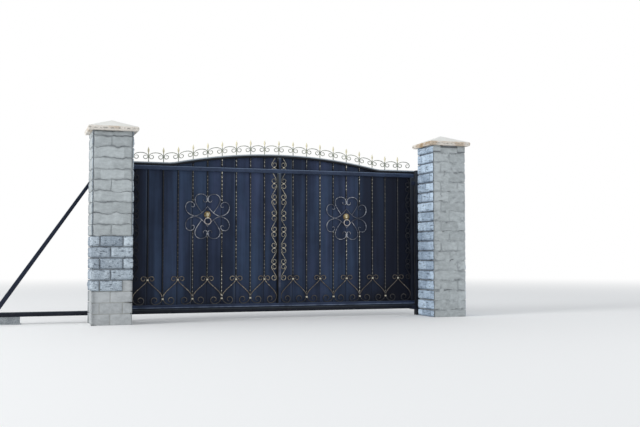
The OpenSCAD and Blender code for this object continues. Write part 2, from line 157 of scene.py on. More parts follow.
stileLow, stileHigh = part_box("centre_stile")
leafX = (stileLow.x + stileHigh.x) / 2
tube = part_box("left_stile")[1].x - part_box("left_stile")[0].x
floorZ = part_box("bottom_tube")[1].z
railLow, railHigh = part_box("straight_rail")
archLow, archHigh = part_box("arched_rail")
leafHalf = archHigh.x - leafX
fieldStart = tube / 2
bays = 10
firstBay = 0.190
pitch = (leafHalf - tube * 1.5 - firstBay) / (bays - 1)
workY = (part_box("left_bars")[0].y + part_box("left_bars")[1].y) / 2
leafMid = (archLow.y + archHigh.y) / 2
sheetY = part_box("left_sheet")[0].y

arch = {"rise": 0.170, "shoulder": 0.540, "hollow": 0.600, "rail": 0.050}
archEnd = leafHalf - arch["shoulder"]
archRadius = (archEnd ** 2 + arch["rise"] ** 2) / (2 * arch["rise"]) - arch["hollow"]
archMeet = archEnd * archRadius / (archRadius + arch["hollow"])


def archRise(x):
    a = abs(x)
    if a >= archEnd:
        return 0.0
    if a >= archMeet:
        return arch["hollow"] - math.sqrt(arch["hollow"] ** 2 - (archEnd - a) ** 2)
    return math.sqrt(archRadius ** 2 - a * a) - archRadius + arch["rise"]


def barX(k):
    return fieldStart + firstBay + (k - 1) * pitch


# Stone and mortar

stoneLook = {
    "rockLight": paint(200, 212, 223), "rockDark": paint(128, 141, 156), "pit": paint(60, 68, 82),
    "coatLight": paint(190, 197, 199), "coatDark": paint(152, 158, 160),
    "plainLight": paint(184, 188, 190), "plainDark": paint(158, 162, 164),
    "crack": paint(86, 90, 95), "soil": paint(112, 106, 90), "between": (2.0, 3.0),
    "leftTint": (0.98, 0.98, 0.96, 1), "rightTint": (1.07, 1.15, 1.22, 1)}


def blockStone():
    s, look = Shader("splitBlock"), stoneLook
    tone, coat, plain, edge = (s.attribute(name) for name in ("tone", "coat", "plain", "edge"))
    rightSide = s.axis("X").ease(*look["between"])
    cloud = s.grain(5, 5, 0.6)
    fine = s.grain(75, 4, 0.6)
    chips = s.grain(16, 3, 0.5, (1, 0.5, 2.4))
    ridges = abs(s.grain(13, 2, 0.5, (1, 0.5, 3.4)) - 0.5)
    rock = s.mix((cloud * 0.5 + fine * 0.7 + tone * 0.3 - 0.24).ease(0.2, 0.75),
                 look["rockDark"], look["rockLight"])
    marks = chips.ease(0.43, 0.34) * 0.6 + ridges.ease(0.035, 0.0) * 0.42
    # pits and wavy ridges, and painted shade towards each block's edges and under it, stronger on
    # the right pillar
    rock = s.mix(marks + edge.ease(0.2, 1.0) * (0.3 + rightSide * 0.2), rock, look["pit"])
    # painted light: the right pillar's stone lighter and bluer as if lit by the sky, the left a
    # little darker
    rock = s.product(rock, s.mix(rightSide, look["leftTint"], look["rightTint"]))
    streaks = s.grain(11, 6, 0.7, (1, 1, 2.0)) * 0.8
    smear = s.mix((streaks + tone * 0.2 + fine * 0.25 - 0.1).ease(0.25, 0.8),
                  look["coatDark"], look["coatLight"])
    # dark cracks on the coat, and painted shadow under the proud top block and along the parged
    # coat's edge
    smear = s.mix(edge * 0.8, smear, look["crack"])
    patches = s.grain(14, 5, 0.65, (1, 1, 1.6))
    flat = s.mix((cloud * 0.4 + patches * 0.9 + tone * 0.2).ease(0.5, 0.95),
                 look["plainDark"], look["plainLight"])
    colour = s.mix(plain, s.mix(coat, rock, smear), flat)
    low = s.axis("Z").ease(0.45, 0.0) * (0.3 + s.grain(7, 4))
    s.feed("Base Color", s.mix(low.ease(0.4, 0.9) * 0.06, colour, look["soil"]))
    s.feed("Roughness", 0.82 + fine * 0.15)
    s.relief(fine * 0.6 + chips * (1 - coat), 0.005, 0.8)
    return s.material


mortarLook = {"dark": paint(98, 102, 108), "light": paint(140, 143, 146),
              "leftPillar": paint(158, 164, 168), "low": paint(168, 168, 160), "lowTop": 0.6}


def mortar():
    s, look = Shader("mortar", Roughness=0.95), mortarLook
    fine = s.grain(120, 4, 0.65)
    bed = s.mix((s.grain(8, 4) + fine * 0.4).ease(0.35, 0.95), look["dark"], look["light"])
    bed = s.mix(s.axis("X").ease(*stoneLook["between"][::-1]) * 0.6, bed, look["leftPillar"])
    low = s.axis("Z").ease(look["lowTop"], look["lowTop"] - 0.08)
    s.feed("Base Color", s.mix(low * 0.7, bed, look["low"]))
    s.relief(fine, 0.002, 0.9)
    return s.material


capLook = {"dark": paint(226, 225, 218), "light": paint(242, 242, 238),
           "eave": paint(222, 214, 204), "rust": paint(168, 134, 84), "chip": paint(92, 90, 84),
           "moss": paint(160, 162, 150)}


def castCap():
    s, look = Shader("castCap"), capLook
    eave, lip = s.attribute("eave"), s.attribute("lip")
    fine = s.grain(60, 5, 0.65)
    cloud = s.grain(4, 5, 0.6)
    colour = s.mix((cloud * 0.8 + fine * 0.3).ease(0.3, 0.8), look["dark"], look["light"])
    colour = s.mix(eave * 0.8, colour, look["eave"])
    rightCap = s.axis("X").ease(3.5, 4.0) * s.grain(5, 4).ease(0.4, 0.6)
    rusty = s.grain(2.4, 3).ease(0.52, 0.64) * 0.4 + rightCap * 0.5
    colour = s.mix(rusty * eave, colour, look["rust"])
    marks = s.grain(24, 4, 0.6, (1, 1, 2.4)).ease(0.46, 0.56) * lip
    marks = marks + s.grain(70, 3).ease(0.55, 0.65) * eave * 0.4
    colour = s.mix(marks * 0.75, colour, look["chip"])
    mossy = (cloud * 0.6 + fine * 0.5).ease(0.62, 0.75)
    s.feed("Base Color", s.mix(mossy * 0.3, colour, look["moss"]))
    s.feed("Roughness", 0.8 + fine * 0.18)
    s.relief(fine + cloud * 0.5, 0.003, 0.7)
    return s.material


# Paint on tube and sheet

frameLook = {"dust": paint(134, 146, 152), "splash": paint(112, 104, 94),
             "worn": paint(106, 108, 122), "wornFrom": 0.42, "wornTo": 0.90,
             "shade": paint(4, 6, 11)}


def framePaint(name, dark, light, dustAndSheenColour=frameLook["dust"], cover=0.8, split=None):
    s, look = Shader(name, Specular_IOR_Level=0.15), frameLook
    cloud = s.grain(3, 4, 0.6)
    fine = s.grain(40, 3)
    # faces that look up lighter: settled dust, and painted sky light on the tops
    dust = s.axis("Z", True).ease(0.05, 0.5) * (0.6 + s.grain(25, 4) * 0.5)
    splash = s.axis("Z").ease(0.4, 0.0) * s.grain(30, 5, 0.7).ease(0.5, 0.8) * 0.5
    colour = s.mix((cloud * 0.8 + fine * 0.3).ease(0.3, 0.8), dark, light)
    if split:  # left of this place in shade, and worn low down
        low = s.axis("Z").ease(look["wornFrom"], look["wornFrom"] + 0.08)
        low = low * s.axis("Z").ease(look["wornTo"], look["wornTo"] - 0.16)
        colour = s.mix(low * s.grain(9, 3).ease(0.3, 0.6) * 0.6, colour, look["worn"])
        colour = s.mix(s.axis("X").ease(split, split - 0.004), colour, look["shade"])
    colour = s.mix(dust * cover, colour, dustAndSheenColour)
    s.feed("Base Color", s.mix(splash * 0.35, colour, look["splash"]))
    s.feed("Roughness", 0.36 + cloud * 0.16 + dust * 0.25 + splash * 0.3)
    s.relief(s.grain(350, 2, 0.5) + fine * 0.8, 0.0006, 0.5)
    return s.material


tubeLook = {"dark": paint(34, 43, 62), "light": paint(50, 62, 88), "below": paint(15, 20, 31),
            "line": paint(112, 124, 146), "top": paint(110, 120, 136),
            "lineTop": 0.029, "lineFoot": 0.047, "soft": 0.006}


def tubePaint():  # the colour of the sheet down to a painted highlight line, with painted shade below it where the roller rail lies
    s, look = Shader("tubePaint", Specular_IOR_Level=0.15), tubeLook
    drop = floorZ - s.axis("Z")
    cloud = s.grain(3, 4, 0.6)
    worn = s.grain(6, 4, 0.6, (1, 1, 0.1))
    first, last, soft = look["lineTop"], look["lineFoot"], look["soft"]
    colour = s.mix((cloud * 0.6 + worn * 0.5).ease(0.3, 0.8), look["dark"], look["light"])
    # near black below the line: painted shade
    colour = s.mix(drop.ease(first + soft, last + 0.002) * 0.9, colour, look["below"])
    # a light line: painted highlight, stronger in streaks
    line = drop.ease(first, first + soft) * drop.ease(last, last - soft)
    colour = s.mix(line * (0.35 + worn.ease(0.35, 0.6) * 0.55), colour, look["line"])
    # faces that look up lighter: painted sky light
    s.feed("Base Color", s.mix(s.axis("Z", True).ease(0.3, 0.9) * 0.3, colour, look["top"]))
    s.feed("Roughness", 0.4 + cloud * 0.2)
    s.relief(s.grain(350, 2, 0.5) + s.grain(40, 3) * 0.8, 0.0006, 0.5)
    return s.material


sheetLook = {"dark": paint(33, 42, 61), "green": paint(56, 72, 98), "violet": paint(60, 71, 99),
             "behindBar": paint(13, 16, 25), "streak": paint(98, 110, 126),
             "dull": paint(15, 18, 30), "splash": paint(84, 80, 76),
             "shadeAside": 0.010, "streakAside": 0.024}  # how far left of each bar


def sheetPaint():
    s, look = Shader("sheetPaint", Specular_IOR_Level=0.1), sheetLook
    band = s.grain(7, 3, 0.55, (1, 1, 0.05))
    wide = s.grain(1.6, 2, 0.5, (1, 1, 0.2))
    cloud = s.grain(3, 4, 0.6)
    mask = (band * 0.85 + wide * 0.5 + cloud * 0.25 - 0.3).ease(0.3, 0.72)
    hue = s.grain(2.2, 3, 0.6, (1, 1, 0.35)).ease(0.42, 0.58)
    colour = s.mix(mask, look["dark"], s.mix(hue, look["green"], look["violet"]))
    across = s.axis("X") - leafX
    fromShade, fromStreak = ((abs(across + aside) - fieldStart - firstBay).nearest(pitch)
                             for aside in (look["shadeAside"], look["streakAside"]))
    some = s.grain(3.1, 1, 0.5, (1, 0, 0)).ease(0.46, 0.62) * s.grain(1.5, 3, 0.6).ease(0.3, 0.6)
    colour = s.mix(fromShade.ease(0.012, 0.005) * 0.6, colour, look["behindBar"])
    colour = s.mix(fromStreak.ease(0.007, 0.002) * some * 0.6, colour, look["streak"])
    dull = across.ease(0.8, 2.05) * 1.25 + across.ease(-1.85, -2.08)  # painted shade near the pillars, where they shadow the sheet
    dull = dull + s.axis("Z").ease(0.62, 0.2) * 0.45  # darker towards the bottom
    dull = dull + s.axis("Z").ease(railLow.z, railHigh.z) * 0.3  # darker above the straight rail, under the arch
    colour = s.mix(dull * 0.75, colour, look["dull"])
    splash = s.axis("Z").ease(0.6, 0.15) * s.grain(30, 5, 0.7).ease(0.48, 0.8)
    s.feed("Base Color", s.mix(splash * 0.2, colour, look["splash"]))
    s.feed("Roughness", 0.36 + cloud * 0.14 + splash * 0.2)
    s.relief(s.grain(2.6, 2, 0.4, (1, 1, 0.08)), 0.03, 0.35)
    return s.material


# Dark iron with a metal colour rubbed on

def rubbed(s, mask, dark, middle, light, shine):
    wear = s.grain(38, 5, 0.65)
    colour = s.mix(mask, dark, middle)
    s.feed("Base Color", s.mix((mask * 0.7 + wear * 0.6).ease(0.82, 1.15), colour, light))
    s.feed("Metallic", mask * shine)
    s.feed("Roughness", 0.56 - mask * 0.14 + wear * 0.08)
    s.relief(s.grain(160, 3, 0.6) + s.grain(45, 3) * 0.8, 0.0009, 0.6)
    return s.material


def rubMask(s, cover, patchy=0.6):  # high on raised edges that face the street
    facing = (s.axis("Y", True) * -1).ease(-0.3, 0.9)
    patches = (s.grain(7, 4, 0.6) - 0.5) * patchy
    mask = s.attribute("rub") * 0.75 + facing * 0.3 + s.grain(38, 5, 0.65) * 0.7
    return (mask + patches - 1.3 + cover).ease(0.0, 0.75)


def patina(name, dark, middle, light, shine, cover, patchy=0.6):
    s = Shader(name, Specular_IOR_Level=0.25)
    return rubbed(s, rubMask(s, cover, patchy), dark, middle, light, shine)


def scrollPatina(name, dark, cool, warm, light, shine, cover):  # warm low down, bright collars
    s = Shader(name, Specular_IOR_Level=0.25)
    height = s.axis("Z")
    bright = s.attribute("rub").ease(1.1, 1.4) * 0.3
    mask = rubMask(s, cover - height.ease(0.36, 0.26) * 0.2)
    tinged = height.ease(0.85, 0.6) * height.ease(0.2, 0.38) + s.grain(5, 3).ease(0.55, 0.7) * 0.5
    return rubbed(s, mask + bright, dark, s.mix(tinged, cool, warm), light, shine)


def barPatinaAndGlint(name, dark, middle, light, shine):  # rubbed patina and a painted glint, on flanks that face the street
    s = Shader(name, Specular_IOR_Level=0.35)
    across = s.axis("X") - leafX
    flank = s.axis("X", True) * -0.42 - s.axis("Y", True) * 0.91
    each = 0.42 + s.grain(2.3, 1, 0.5, (1, 0, 0)).ease(0.38, 0.6) * 0.7
    mask = flank.ease(0.94, 0.985) * s.grain(9, 4, 0.6).ease(0.34, 0.54) * each
    # little or none near the ends: painted shade of the pillars
    mask = mask * across.ease(-1.78, -1.3) * (1 - across.ease(1.0, 1.9) * 0.75)
    return rubbed(s, mask, dark, middle, light, shine)


zincLook = {"dark": paint(118, 124, 130), "light": paint(176, 182, 186)}


def zincSteel():
    s = Shader("zincSteel", Metallic=0.85)
    spangle = s.cells(90)
    cloud = s.grain(12, 4)
    s.feed("Base Color", s.mix((spangle * 0.6 + cloud * 0.6).ease(0.25, 0.9),
                               zincLook["dark"], zincLook["light"]))
    s.feed("Roughness", 0.38 + spangle * 0.22 + cloud * 0.1)
    s.relief(cloud, 0.0008, 0.5)
    return s.material


stone = blockStone()
joints = mortar()
capStone = castCap()
darkPaint = framePaint("framePaint", paint(24, 29, 42), paint(40, 48, 66))
shadePaint = framePaint("shadePaint", paint(13, 16, 24), paint(25, 30, 42), cover=0.5)
# the light dust on the arched and straight rails paints the highlight along their rounded tops
blackPaint = framePaint("blackPaint", paint(12, 14, 20), paint(24, 28, 36),
                        paint(172, 182, 190), 1.0)
railPaint = framePaint("railPaint", paint(38, 47, 66), paint(60, 73, 97), paint(124, 140, 166))
stilePaint = framePaint("stilePaint", paint(31, 39, 56), paint(47, 58, 80), split=leafX - 0.007)
bottomPaint = tubePaint()
sheetFinish = sheetPaint()
bronze = scrollPatina("bronzePatina", paint(24, 27, 35), paint(110, 110, 108),
                      paint(122, 113, 102), paint(196, 190, 172), 0.35, 0.58)
crestIron = scrollPatina("crestPatina", paint(54, 58, 57), paint(116, 124, 118),
                         paint(116, 124, 118), paint(184, 186, 166), 0.2, 0.75)
barFinish = barPatinaAndGlint("barPatinaAndGlint", paint(16, 20, 28), paint(172, 170, 160),
                      paint(216, 213, 198), 0.2)
lilac = patina("rosettePatina", paint(24, 27, 37), paint(104, 109, 122),
               paint(178, 180, 186), 0.3, 0.42, 1.5)
gold = patina("goldPatina", paint(66, 50, 26), paint(164, 144, 98),
              paint(252, 246, 220), 0.4, 0.8)
paleGold = patina("paleGold", paint(110, 106, 86), paint(204, 197, 164),
                  paint(228, 222, 196), 0.25, 1.0)
ringIron = patina("ringIron", paint(60, 54, 54), paint(168, 158, 156),
                  paint(222, 214, 208), 0.3, 0.8)
steel = zincSteel()
print("materials made")


# Making meshes and turning them into pieces of the gate

def at(x, y, z):
    return Matrix.Translation((x, y, z))


def sized(x, y, z):
    return Matrix.Diagonal((x, y, z, 1))


def turned(degrees, axis):
    return Matrix.Rotation(math.radians(degrees), 4, axis)


unmoved = Matrix.Identity(4)
flipX = sized(-1, 1, 1)


def blank(*names):  # a new bmesh, and a number on its vertices for each name
    bm = bmesh.new()
    return (bm, *(bm.verts.layers.float.new(name) for name in names))


def vertsOf(made):
    return [g for g in made if isinstance(g, bmesh.types.BMVert)]


def facesOf(made):
    return [g for g in made if isinstance(g, bmesh.types.BMFace)]


def isLevel(edge):
    return abs(edge.verts[0].co.z - edge.verts[1].co.z) < 1e-6


def openEdges(bm):
    return [e for e in bm.edges if e.is_boundary]


def creases(bm, angle):
    return [e for e in bm.edges if len(e.link_faces) == 2 and e.calc_face_angle() > angle]


def bevel(bm, geom, offset, segments, affect="EDGES"):
    bmesh.ops.bevel(bm, geom=geom, offset=offset, segments=segments, profile=0.5, affect=affect,
                    material=-1, clamp_overlap=affect == "EDGES")


def pulled(bm, edges, move):  # new faces from these edges; gives back the new level edges
    made = bmesh.ops.extrude_edge_only(bm, edges=edges)["geom"]
    bmesh.ops.translate(bm, vec=move, verts=vertsOf(made))
    return [g for g in made if isinstance(g, bmesh.types.BMEdge) and isLevel(g)]


def barSection(bm, matrix, corner, segments):  # the rounded rectangle that a bar is drawn from
    bmesh.ops.create_grid(bm, x_segments=1, y_segments=1, size=0.5, matrix=matrix)
    bevel(bm, bm.verts[:], corner, segments, "VERTICES")


def drawn(bm, places):  # the section, drawn through these places
    bmesh.ops.transform(bm, matrix=places[0], verts=bm.verts)
    face = bm.faces[:]
    for before, after in zip(places, places[1:]):
        made = bmesh.ops.extrude_face_region(bm, geom=face)["geom"]
        bmesh.ops.transform(bm, matrix=after @ before.inverted(), verts=vertsOf(made))
        face = facesOf(made)


def meshOf(bm, name="part"):
    mesh = bpy.data.meshes.new(name)
    bm.to_mesh(mesh)
    bm.free()
    return mesh


def addCopy(bm, part, matrix=unmoved):
    oldVerts, oldFaces = len(bm.verts), len(bm.faces)
    bm.from_mesh(part)
    bm.verts.ensure_lookup_table()
    bm.faces.ensure_lookup_table()
    bmesh.ops.transform(bm, matrix=matrix, verts=bm.verts[oldVerts:])
    if matrix.determinant() < 0:
        bmesh.ops.reverse_faces(bm, faces=bm.faces[oldFaces:])
    return bm.verts[oldVerts:]


def onLeaf(side, x, z, y=workY):  # drawn on the right half, mirrored for the left
    return at(leafX, y, 0) @ (flipX if side < 0 else unmoved) @ at(x, 0, z)


def makePiece(bm, name, body, material, nodes=(), sharp=38):
    bmesh.ops.recalc_face_normals(bm, faces=bm.faces)
    mesh = meshOf(bm, name)
    mesh.materials.append(material)
    mesh.shade_smooth()
    mesh.set_sharp_from_angle(angle=math.radians(sharp))
    piece = bpy.data.objects.new(name, mesh)
    bpy.context.scene.collection.objects.link(piece)
    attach(piece, body)
    if nodes:
        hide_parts(*nodes)


def dressNode(bm, nodeName, body, material, sharp=38):  # in place of one CAD node
    first, *rest = nodeName.split("_")
    name = first + "".join(word.capitalize() for word in rest)
    makePiece(bm, name, body, material, (nodeName,), sharp)


def boxPart(size, centre, edge, segments):
    bm = bmesh.new()
    bmesh.ops.create_cube(bm, size=1, matrix=Matrix.Translation(centre) @ sized(*size))
    bevel(bm, bm.edges[:], edge, segments)
    return meshOf(bm)


def rodPart(radius, height, around, edge, matrix=unmoved):
    bm = bmesh.new()
    bmesh.ops.create_cone(bm, cap_ends=True, segments=around, radius1=radius, radius2=radius,
                          depth=height, matrix=matrix @ at(0, 0, height / 2))
    bevel(bm, creases(bm, 1.2), edge, 2)
    return meshOf(bm)


def rounded(nodeName, edge, segments=2, topEdge=0.0):  # a CAD node's own shape with rounded edges
    bm = bmesh.new()
    bm.from_mesh(frame["nodes"][nodeName].data)
    bmesh.ops.remove_doubles(bm, verts=bm.verts, dist=0.00002)
    bmesh.ops.dissolve_limit(bm, angle_limit=0.01, verts=bm.verts, edges=bm.edges)
    if topEdge:
        long = [e for e in creases(bm, 0.6) if any(f.normal.z > 0.9 for f in e.link_faces)
                and any(abs(f.normal.y) > 0.9 for f in e.link_faces)]
        bevel(bm, long, topEdge, 5)
    bevel(bm, creases(bm, 0.6), edge, segments)
    return bm


# Masonry: split blocks, two lengths to a face, turned a quarter every course

masonry = {"course": 0.1475, "joint": 0.009, "long": 0.280, "short": 0.140, "cell": 0.0135,
           "bulge": 0.026, "arris": 0.028, "plainSet": 0.030, "coatSet": 0.017, "core": 0.036,
           "plainCourses": 3, "coatStart": 8, "wave": 0.022, "rim": 0.020, "rimJoint": 0.034,
           "shift": 0.020, "sunk": {"left": 0.0, "right": 0.045}, "slit": 0.036,
           "softBed": 0.026, "softEnd": 0.022, "underShade": 0.045, "cornerZone": 0.030,
           "coatEdge": 0.008, "thinnest": 0.020, "ends": {"left": 0.0, "right": 0.6}}
slurryLook = {"narrower": 0.054, "thick": 0.030, "foot": 0.004,
              "depth": {"left": 0.0215, "right": 0.0182}, "stain": {"left": 0.35, "right": 0.0}}
sideAxes = {"front": (1, -1), "back": (1, 1), "left": (0, -1), "right": (0, 1)}


def faceFinish(pillar, side, row, corner):  # how one face of a block is finished
    if pillar == "right":
        return "parged" if side == "front" else "rock"
    if row < masonry["plainCourses"] or (row == masonry["plainCourses"] and corner == "right"):
        return "plain"
    return "smeared" if side in ("front", "left") and row >= masonry["coatStart"] else "rock"


def edgeWeight(position, low, high, margin):
    near = min(position - low, high - position) / margin
    return max(0.0, min(1.0, near)) ** 0.6


def rough(p, x, z, drift=Vector()):  # noise at a place, finer upright than along the block
    return noise.noise(Vector((p.x * x, p.y * x, p.z * z)) + drift)


def rockFace(p, near, low, drift):  # how far in the rough face lies, and its painted shade: under the block and towards its edges
    chip = rough(p, 20, 42, drift) * 0.48 + rough(p, 60, 60, drift) * 0.22
    face = masonry["bulge"] * (0.62 + 0.55 * abs(rough(p, 7, 15, drift)) + 0.5 * chip) * near
    under = max(0.0, 1 - (p.z - low) / masonry["underShade"]) * 0.7
    return max(0.0006, masonry["arris"] - face), max(under, 1 - near - 0.3 * chip)


def coatFace(p, finish, tall, wide, low, half, along, drift):
    # how far in a coated face lies, how dark it is, and 0 where the rough stone shows; the dark
    # line under a proud block and along the parged coat's edge is painted shadow, the darkening
    # towards the joints elsewhere marks cracks
    inward = masonry["coatSet"] - rough(p, 9, 9) * 0.0024 - rough(p, 34, 34) * 0.0014
    near = tall if finish == "smeared" else min(tall, wide + 0.2)
    darkness = (0.85 - near) * (0.4 + rough(p, 6, 6) * 1.2)
    if finish == "proud":
        # dark along its foot: painted shadow under the proud block
        return inward - 0.010 * tall, 1.0 if p.z < low + 0.015 else 0.0, 1.0
    if finish == "parged":
        # dark near the corner: painted shadow along the coat's edge
        atEdge = masonry["coatEdge"] < half + along < masonry["cornerZone"]
        return (inward + 0.006, 1.25, 1.0) if atEdge else (inward, darkness, 1.0)
    if half - abs(along) < masonry["rim"]:
        return inward - 0.008 * tall - rough(p, 30, 30, drift) * 0.004, darkness, 0.0
    if half - abs(along) < masonry["rimJoint"]:
        return inward + 0.007, 1.0, 1.0
    return inward - 0.005 * tall, darkness, 1.0


def wave(p):  # how far a joint under the coat strays from its straight line
    up = noise.noise(Vector((p.x * 8, 3.1, p.z * 6)))
    up += 0.5 * noise.noise(Vector((p.x * 27, 7.7, p.z * 20)))
    up += 0.25 * noise.noise(Vector((p.x * 64, 1.3, p.z * 9)))
    return masonry["wave"] * up


def blockBox(plan, low, high, shown):  # a closed box, cut finely on the sides that show
    bm, *layers = blank("tone", "coat", "plain", "edge")
    x0, y0, x1, y1 = plan
    corners = [bm.verts.new((x, y, low)) for x, y in ((x0, y0), (x1, y0), (x1, y1), (x0, y1))]
    outline = [bm.edges.new((corners[i], corners[(i + 1) % 4])) for i in range(4)]
    for side, edge in zip(("front", "right", "back", "left"), outline):
        if side in shown:
            cuts = max(2, round(edge.calc_length() / masonry["cell"])) - 1
            bmesh.ops.subdivide_edges(bm, edges=[edge], cuts=cuts)
    rows = max(3, round((high - low) / masonry["cell"]))
    ring = bm.edges[:]
    bmesh.ops.edgeloop_fill(bm, edges=ring)
    for row in range(rows):
        ring = pulled(bm, ring, (0, 0, (high - low) / rows))
    bmesh.ops.edgeloop_fill(bm, edges=ring)
    return bm, layers


def blockMesh(plan, low, high, finishes, seed, half, ends):
    # plan is (x0, y0, x1, y1) about the pillar's middle; finishes names the sides that show
    bm, (tone, coat, plain, dark) = blockBox(plan, low, high, finishes)
    shade = random.Random(seed).random()
    drift = Vector((seed * 7.31, seed * 3.17, seed * 5.73))
    coated = finishes.get("front") in ("smeared", "parged")
    for v in bm.verts:
        p = v.co.copy()
        v[tone] = shade
        tall = edgeWeight(p.z, low, high, masonry["softBed"])
        for side, finish in finishes.items():
            axis, sign = sideAxes[side]
            limit = sign * half
            if abs(p[axis] - limit) > 0.001:
                continue
            along = p[1 - axis]
            wide = edgeWeight(along, plan[1 - axis], plan[3 - axis], masonry["softEnd"])
            if finish == "rock":
                atCorner = abs(abs(along) - half) < masonry["cornerZone"]
                wide = max(wide, ends, 0.5 if atCorner else 0)  # it keeps more of its face
                inward, darkness = rockFace(p, min(tall, wide), low, drift)
                v[dark] = max(v[dark], darkness)
            elif finish == "plain":
                inward = masonry["plainSet"] - rough(p, 30, 30, drift) * 0.0012
                inward += 0.003 * (1 - min(tall, wide))
                v[plain] = 1.0
            else:
                inward, darkness, v[coat] = coatFace(p, finish, tall, wide, low, half, along, drift)
                v[dark] = darkness if finish == "proud" else max(v[dark], darkness)
            v.co[axis] = limit - sign * inward
        inner = abs(p.x) < half - masonry["cornerZone"] and p.z > 0.02
        if coated and p.y < -half + 0.001 and inner:
            v.co.z += wave(p)
            v.co.x += masonry["wave"] * 0.6 * noise.noise(Vector((p.x * 5, 9.7, p.z * 11)))
    return meshOf(bm)


def cornerBlock(block, turn, half, shift, gap, j):  # where it lies, and the sides that show
    sx, sy = (-1, 1)[block % 2], (-1, 1)[block // 2]
    wide, deep = masonry["short" if turn else "long"], masonry["long" if turn else "short"]
    longer = 0 if turn else shift
    x0, x1 = (-half, wide - half - shift - gap) if sx < 0 else (half - wide - longer + gap, half)
    y0, y1 = (-half, deep - half - j) if sy < 0 else (half - deep + j, half)
    return (x0, y0, x1, y1), ("left" if sx < 0 else "right", "front" if sy < 0 else "back")


def endBlock(s, turn, half, shift, gap, j):  # between two corner blocks
    reach = masonry["long"] / 2
    near, far = sorted((s * half, s * (half - masonry["short"])))
    if turn:
        return (gap - reach - shift, near, reach - gap, far), ("front" if s < 0 else "back",)
    return (near, j - reach, far, reach - j), ("left" if s < 0 else "right",)


def pillarBlocks(bm, pillar, x, top, half, seed):
    j = masonry["joint"] / 2
    shift = masonry["shift"] if pillar == "left" else 0
    low, row = 0.0, 0
    while low < top - masonry["thinnest"]:
        high = min((row + 1) * masonry["course"] - masonry["sunk"][pillar], top)
        turn = row % 2 == 1
        smeared = pillar == "left" and (row >= masonry["coatStart"] or high == top)
        bed = j * 0.8 if smeared else j
        filled = smeared and (turn or row % 4 == 2 or high == top)  # upright joints, by the coat
        gap = 0 if filled else j
        places = [cornerBlock(block, turn, half, shift, gap, j) for block in range(4)]
        places += [endBlock(s, turn, half, shift, gap, j) for s in (-1, 1)]
        for block, (plan, shown) in enumerate(places):
            if high == top and pillar == "right" and shown == ("front",):
                continue  # this block of the thin top course is missing
            finishes = {side: faceFinish(pillar, side, row, shown[0]) for side in shown}
            if high == top and "front" in shown:
                finishes["front"] = "smeared" if pillar == "left" else "proud"
            part = blockMesh(plan, low + (bed if row else 0), high - (0 if high == top else bed),
                             finishes, seed + row * 6 + block, half, masonry["ends"][pillar])
            addCopy(bm, part, at(x, 0, 0))
            bpy.data.meshes.remove(part)
        low, row = high, row + 1


def wavySheet(bm, side, x, low, high, half):  # mortar smeared over the front
    slurry, tone, coat, dark = blank("tone", "coat", "edge")
    centre = at(0, slurryLook["depth"][side] - half, (low + high) / 2)
    size = sized(2 * half - slurryLook["narrower"], high - low, 1)
    bmesh.ops.create_grid(slurry, x_segments=40, y_segments=140, size=0.5,
                          matrix=centre @ turned(90, "X") @ size)
    for v in slurry.verts:
        v[tone], v[coat] = 0.5, 1.0
        v[dark] = max(0.0, min(1.0, slurryLook["stain"][side] + rough(v.co, 11, 11) * 0.9))
        v.co.y += rough(v.co, 14, 14) * 0.0040 + rough(v.co, 60, 60) * 0.0012
    pulled(slurry, openEdges(slurry), (0, slurryLook["thick"], 0))
    bmesh.ops.holes_fill(slurry, edges=openEdges(slurry))
    addCopy(bm, meshOf(slurry), at(x, 0, 0))


def mortarCore(x, top, half):
    core = bmesh.new()
    wide = 2 * (half - masonry["core"])
    bmesh.ops.create_cube(core, size=1, matrix=at(x, 0, top / 2) @ sized(wide, wide, top - 0.004))
    return core


for side, seed in (("left", 11), ("right", 400)):
    low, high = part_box(side + "_pillar")
    half = (high.x - low.x) / 2
    x = (low.x + high.x) / 2
    blocks, course = bmesh.new(), masonry["course"]
    pillarBlocks(blocks, side, x, high.z, half, seed)
    if side == "right":
        wavySheet(blocks, side, x, slurryLook["foot"], high.z - masonry["slit"], half)
    else:
        wholeCourses = math.floor(high.z / course) * course
        wavySheet(blocks, side, x, masonry["coatStart"] * course, wholeCourses, half)
    makePiece(blocks, side + "Blocks", "pillars", stone, (side + "_pillar",), 60)
    core = mortarCore(x, high.z, half)
    makePiece(core, side + "Mortar", "pillars", joints, (), 60)
print("pillars built")


# Caps: a cast slab with a low pyramid, softened and chipped along the eaves

capShape = {"edge": 0.053, "cells": 44, "round": 0.0056, "chip": 0.004, "soft": 0.012,
            "lipFrom": 0.4, "lipTo": 0.75, "drops": (0.012, 0.015, 0.014, 0.0136)}


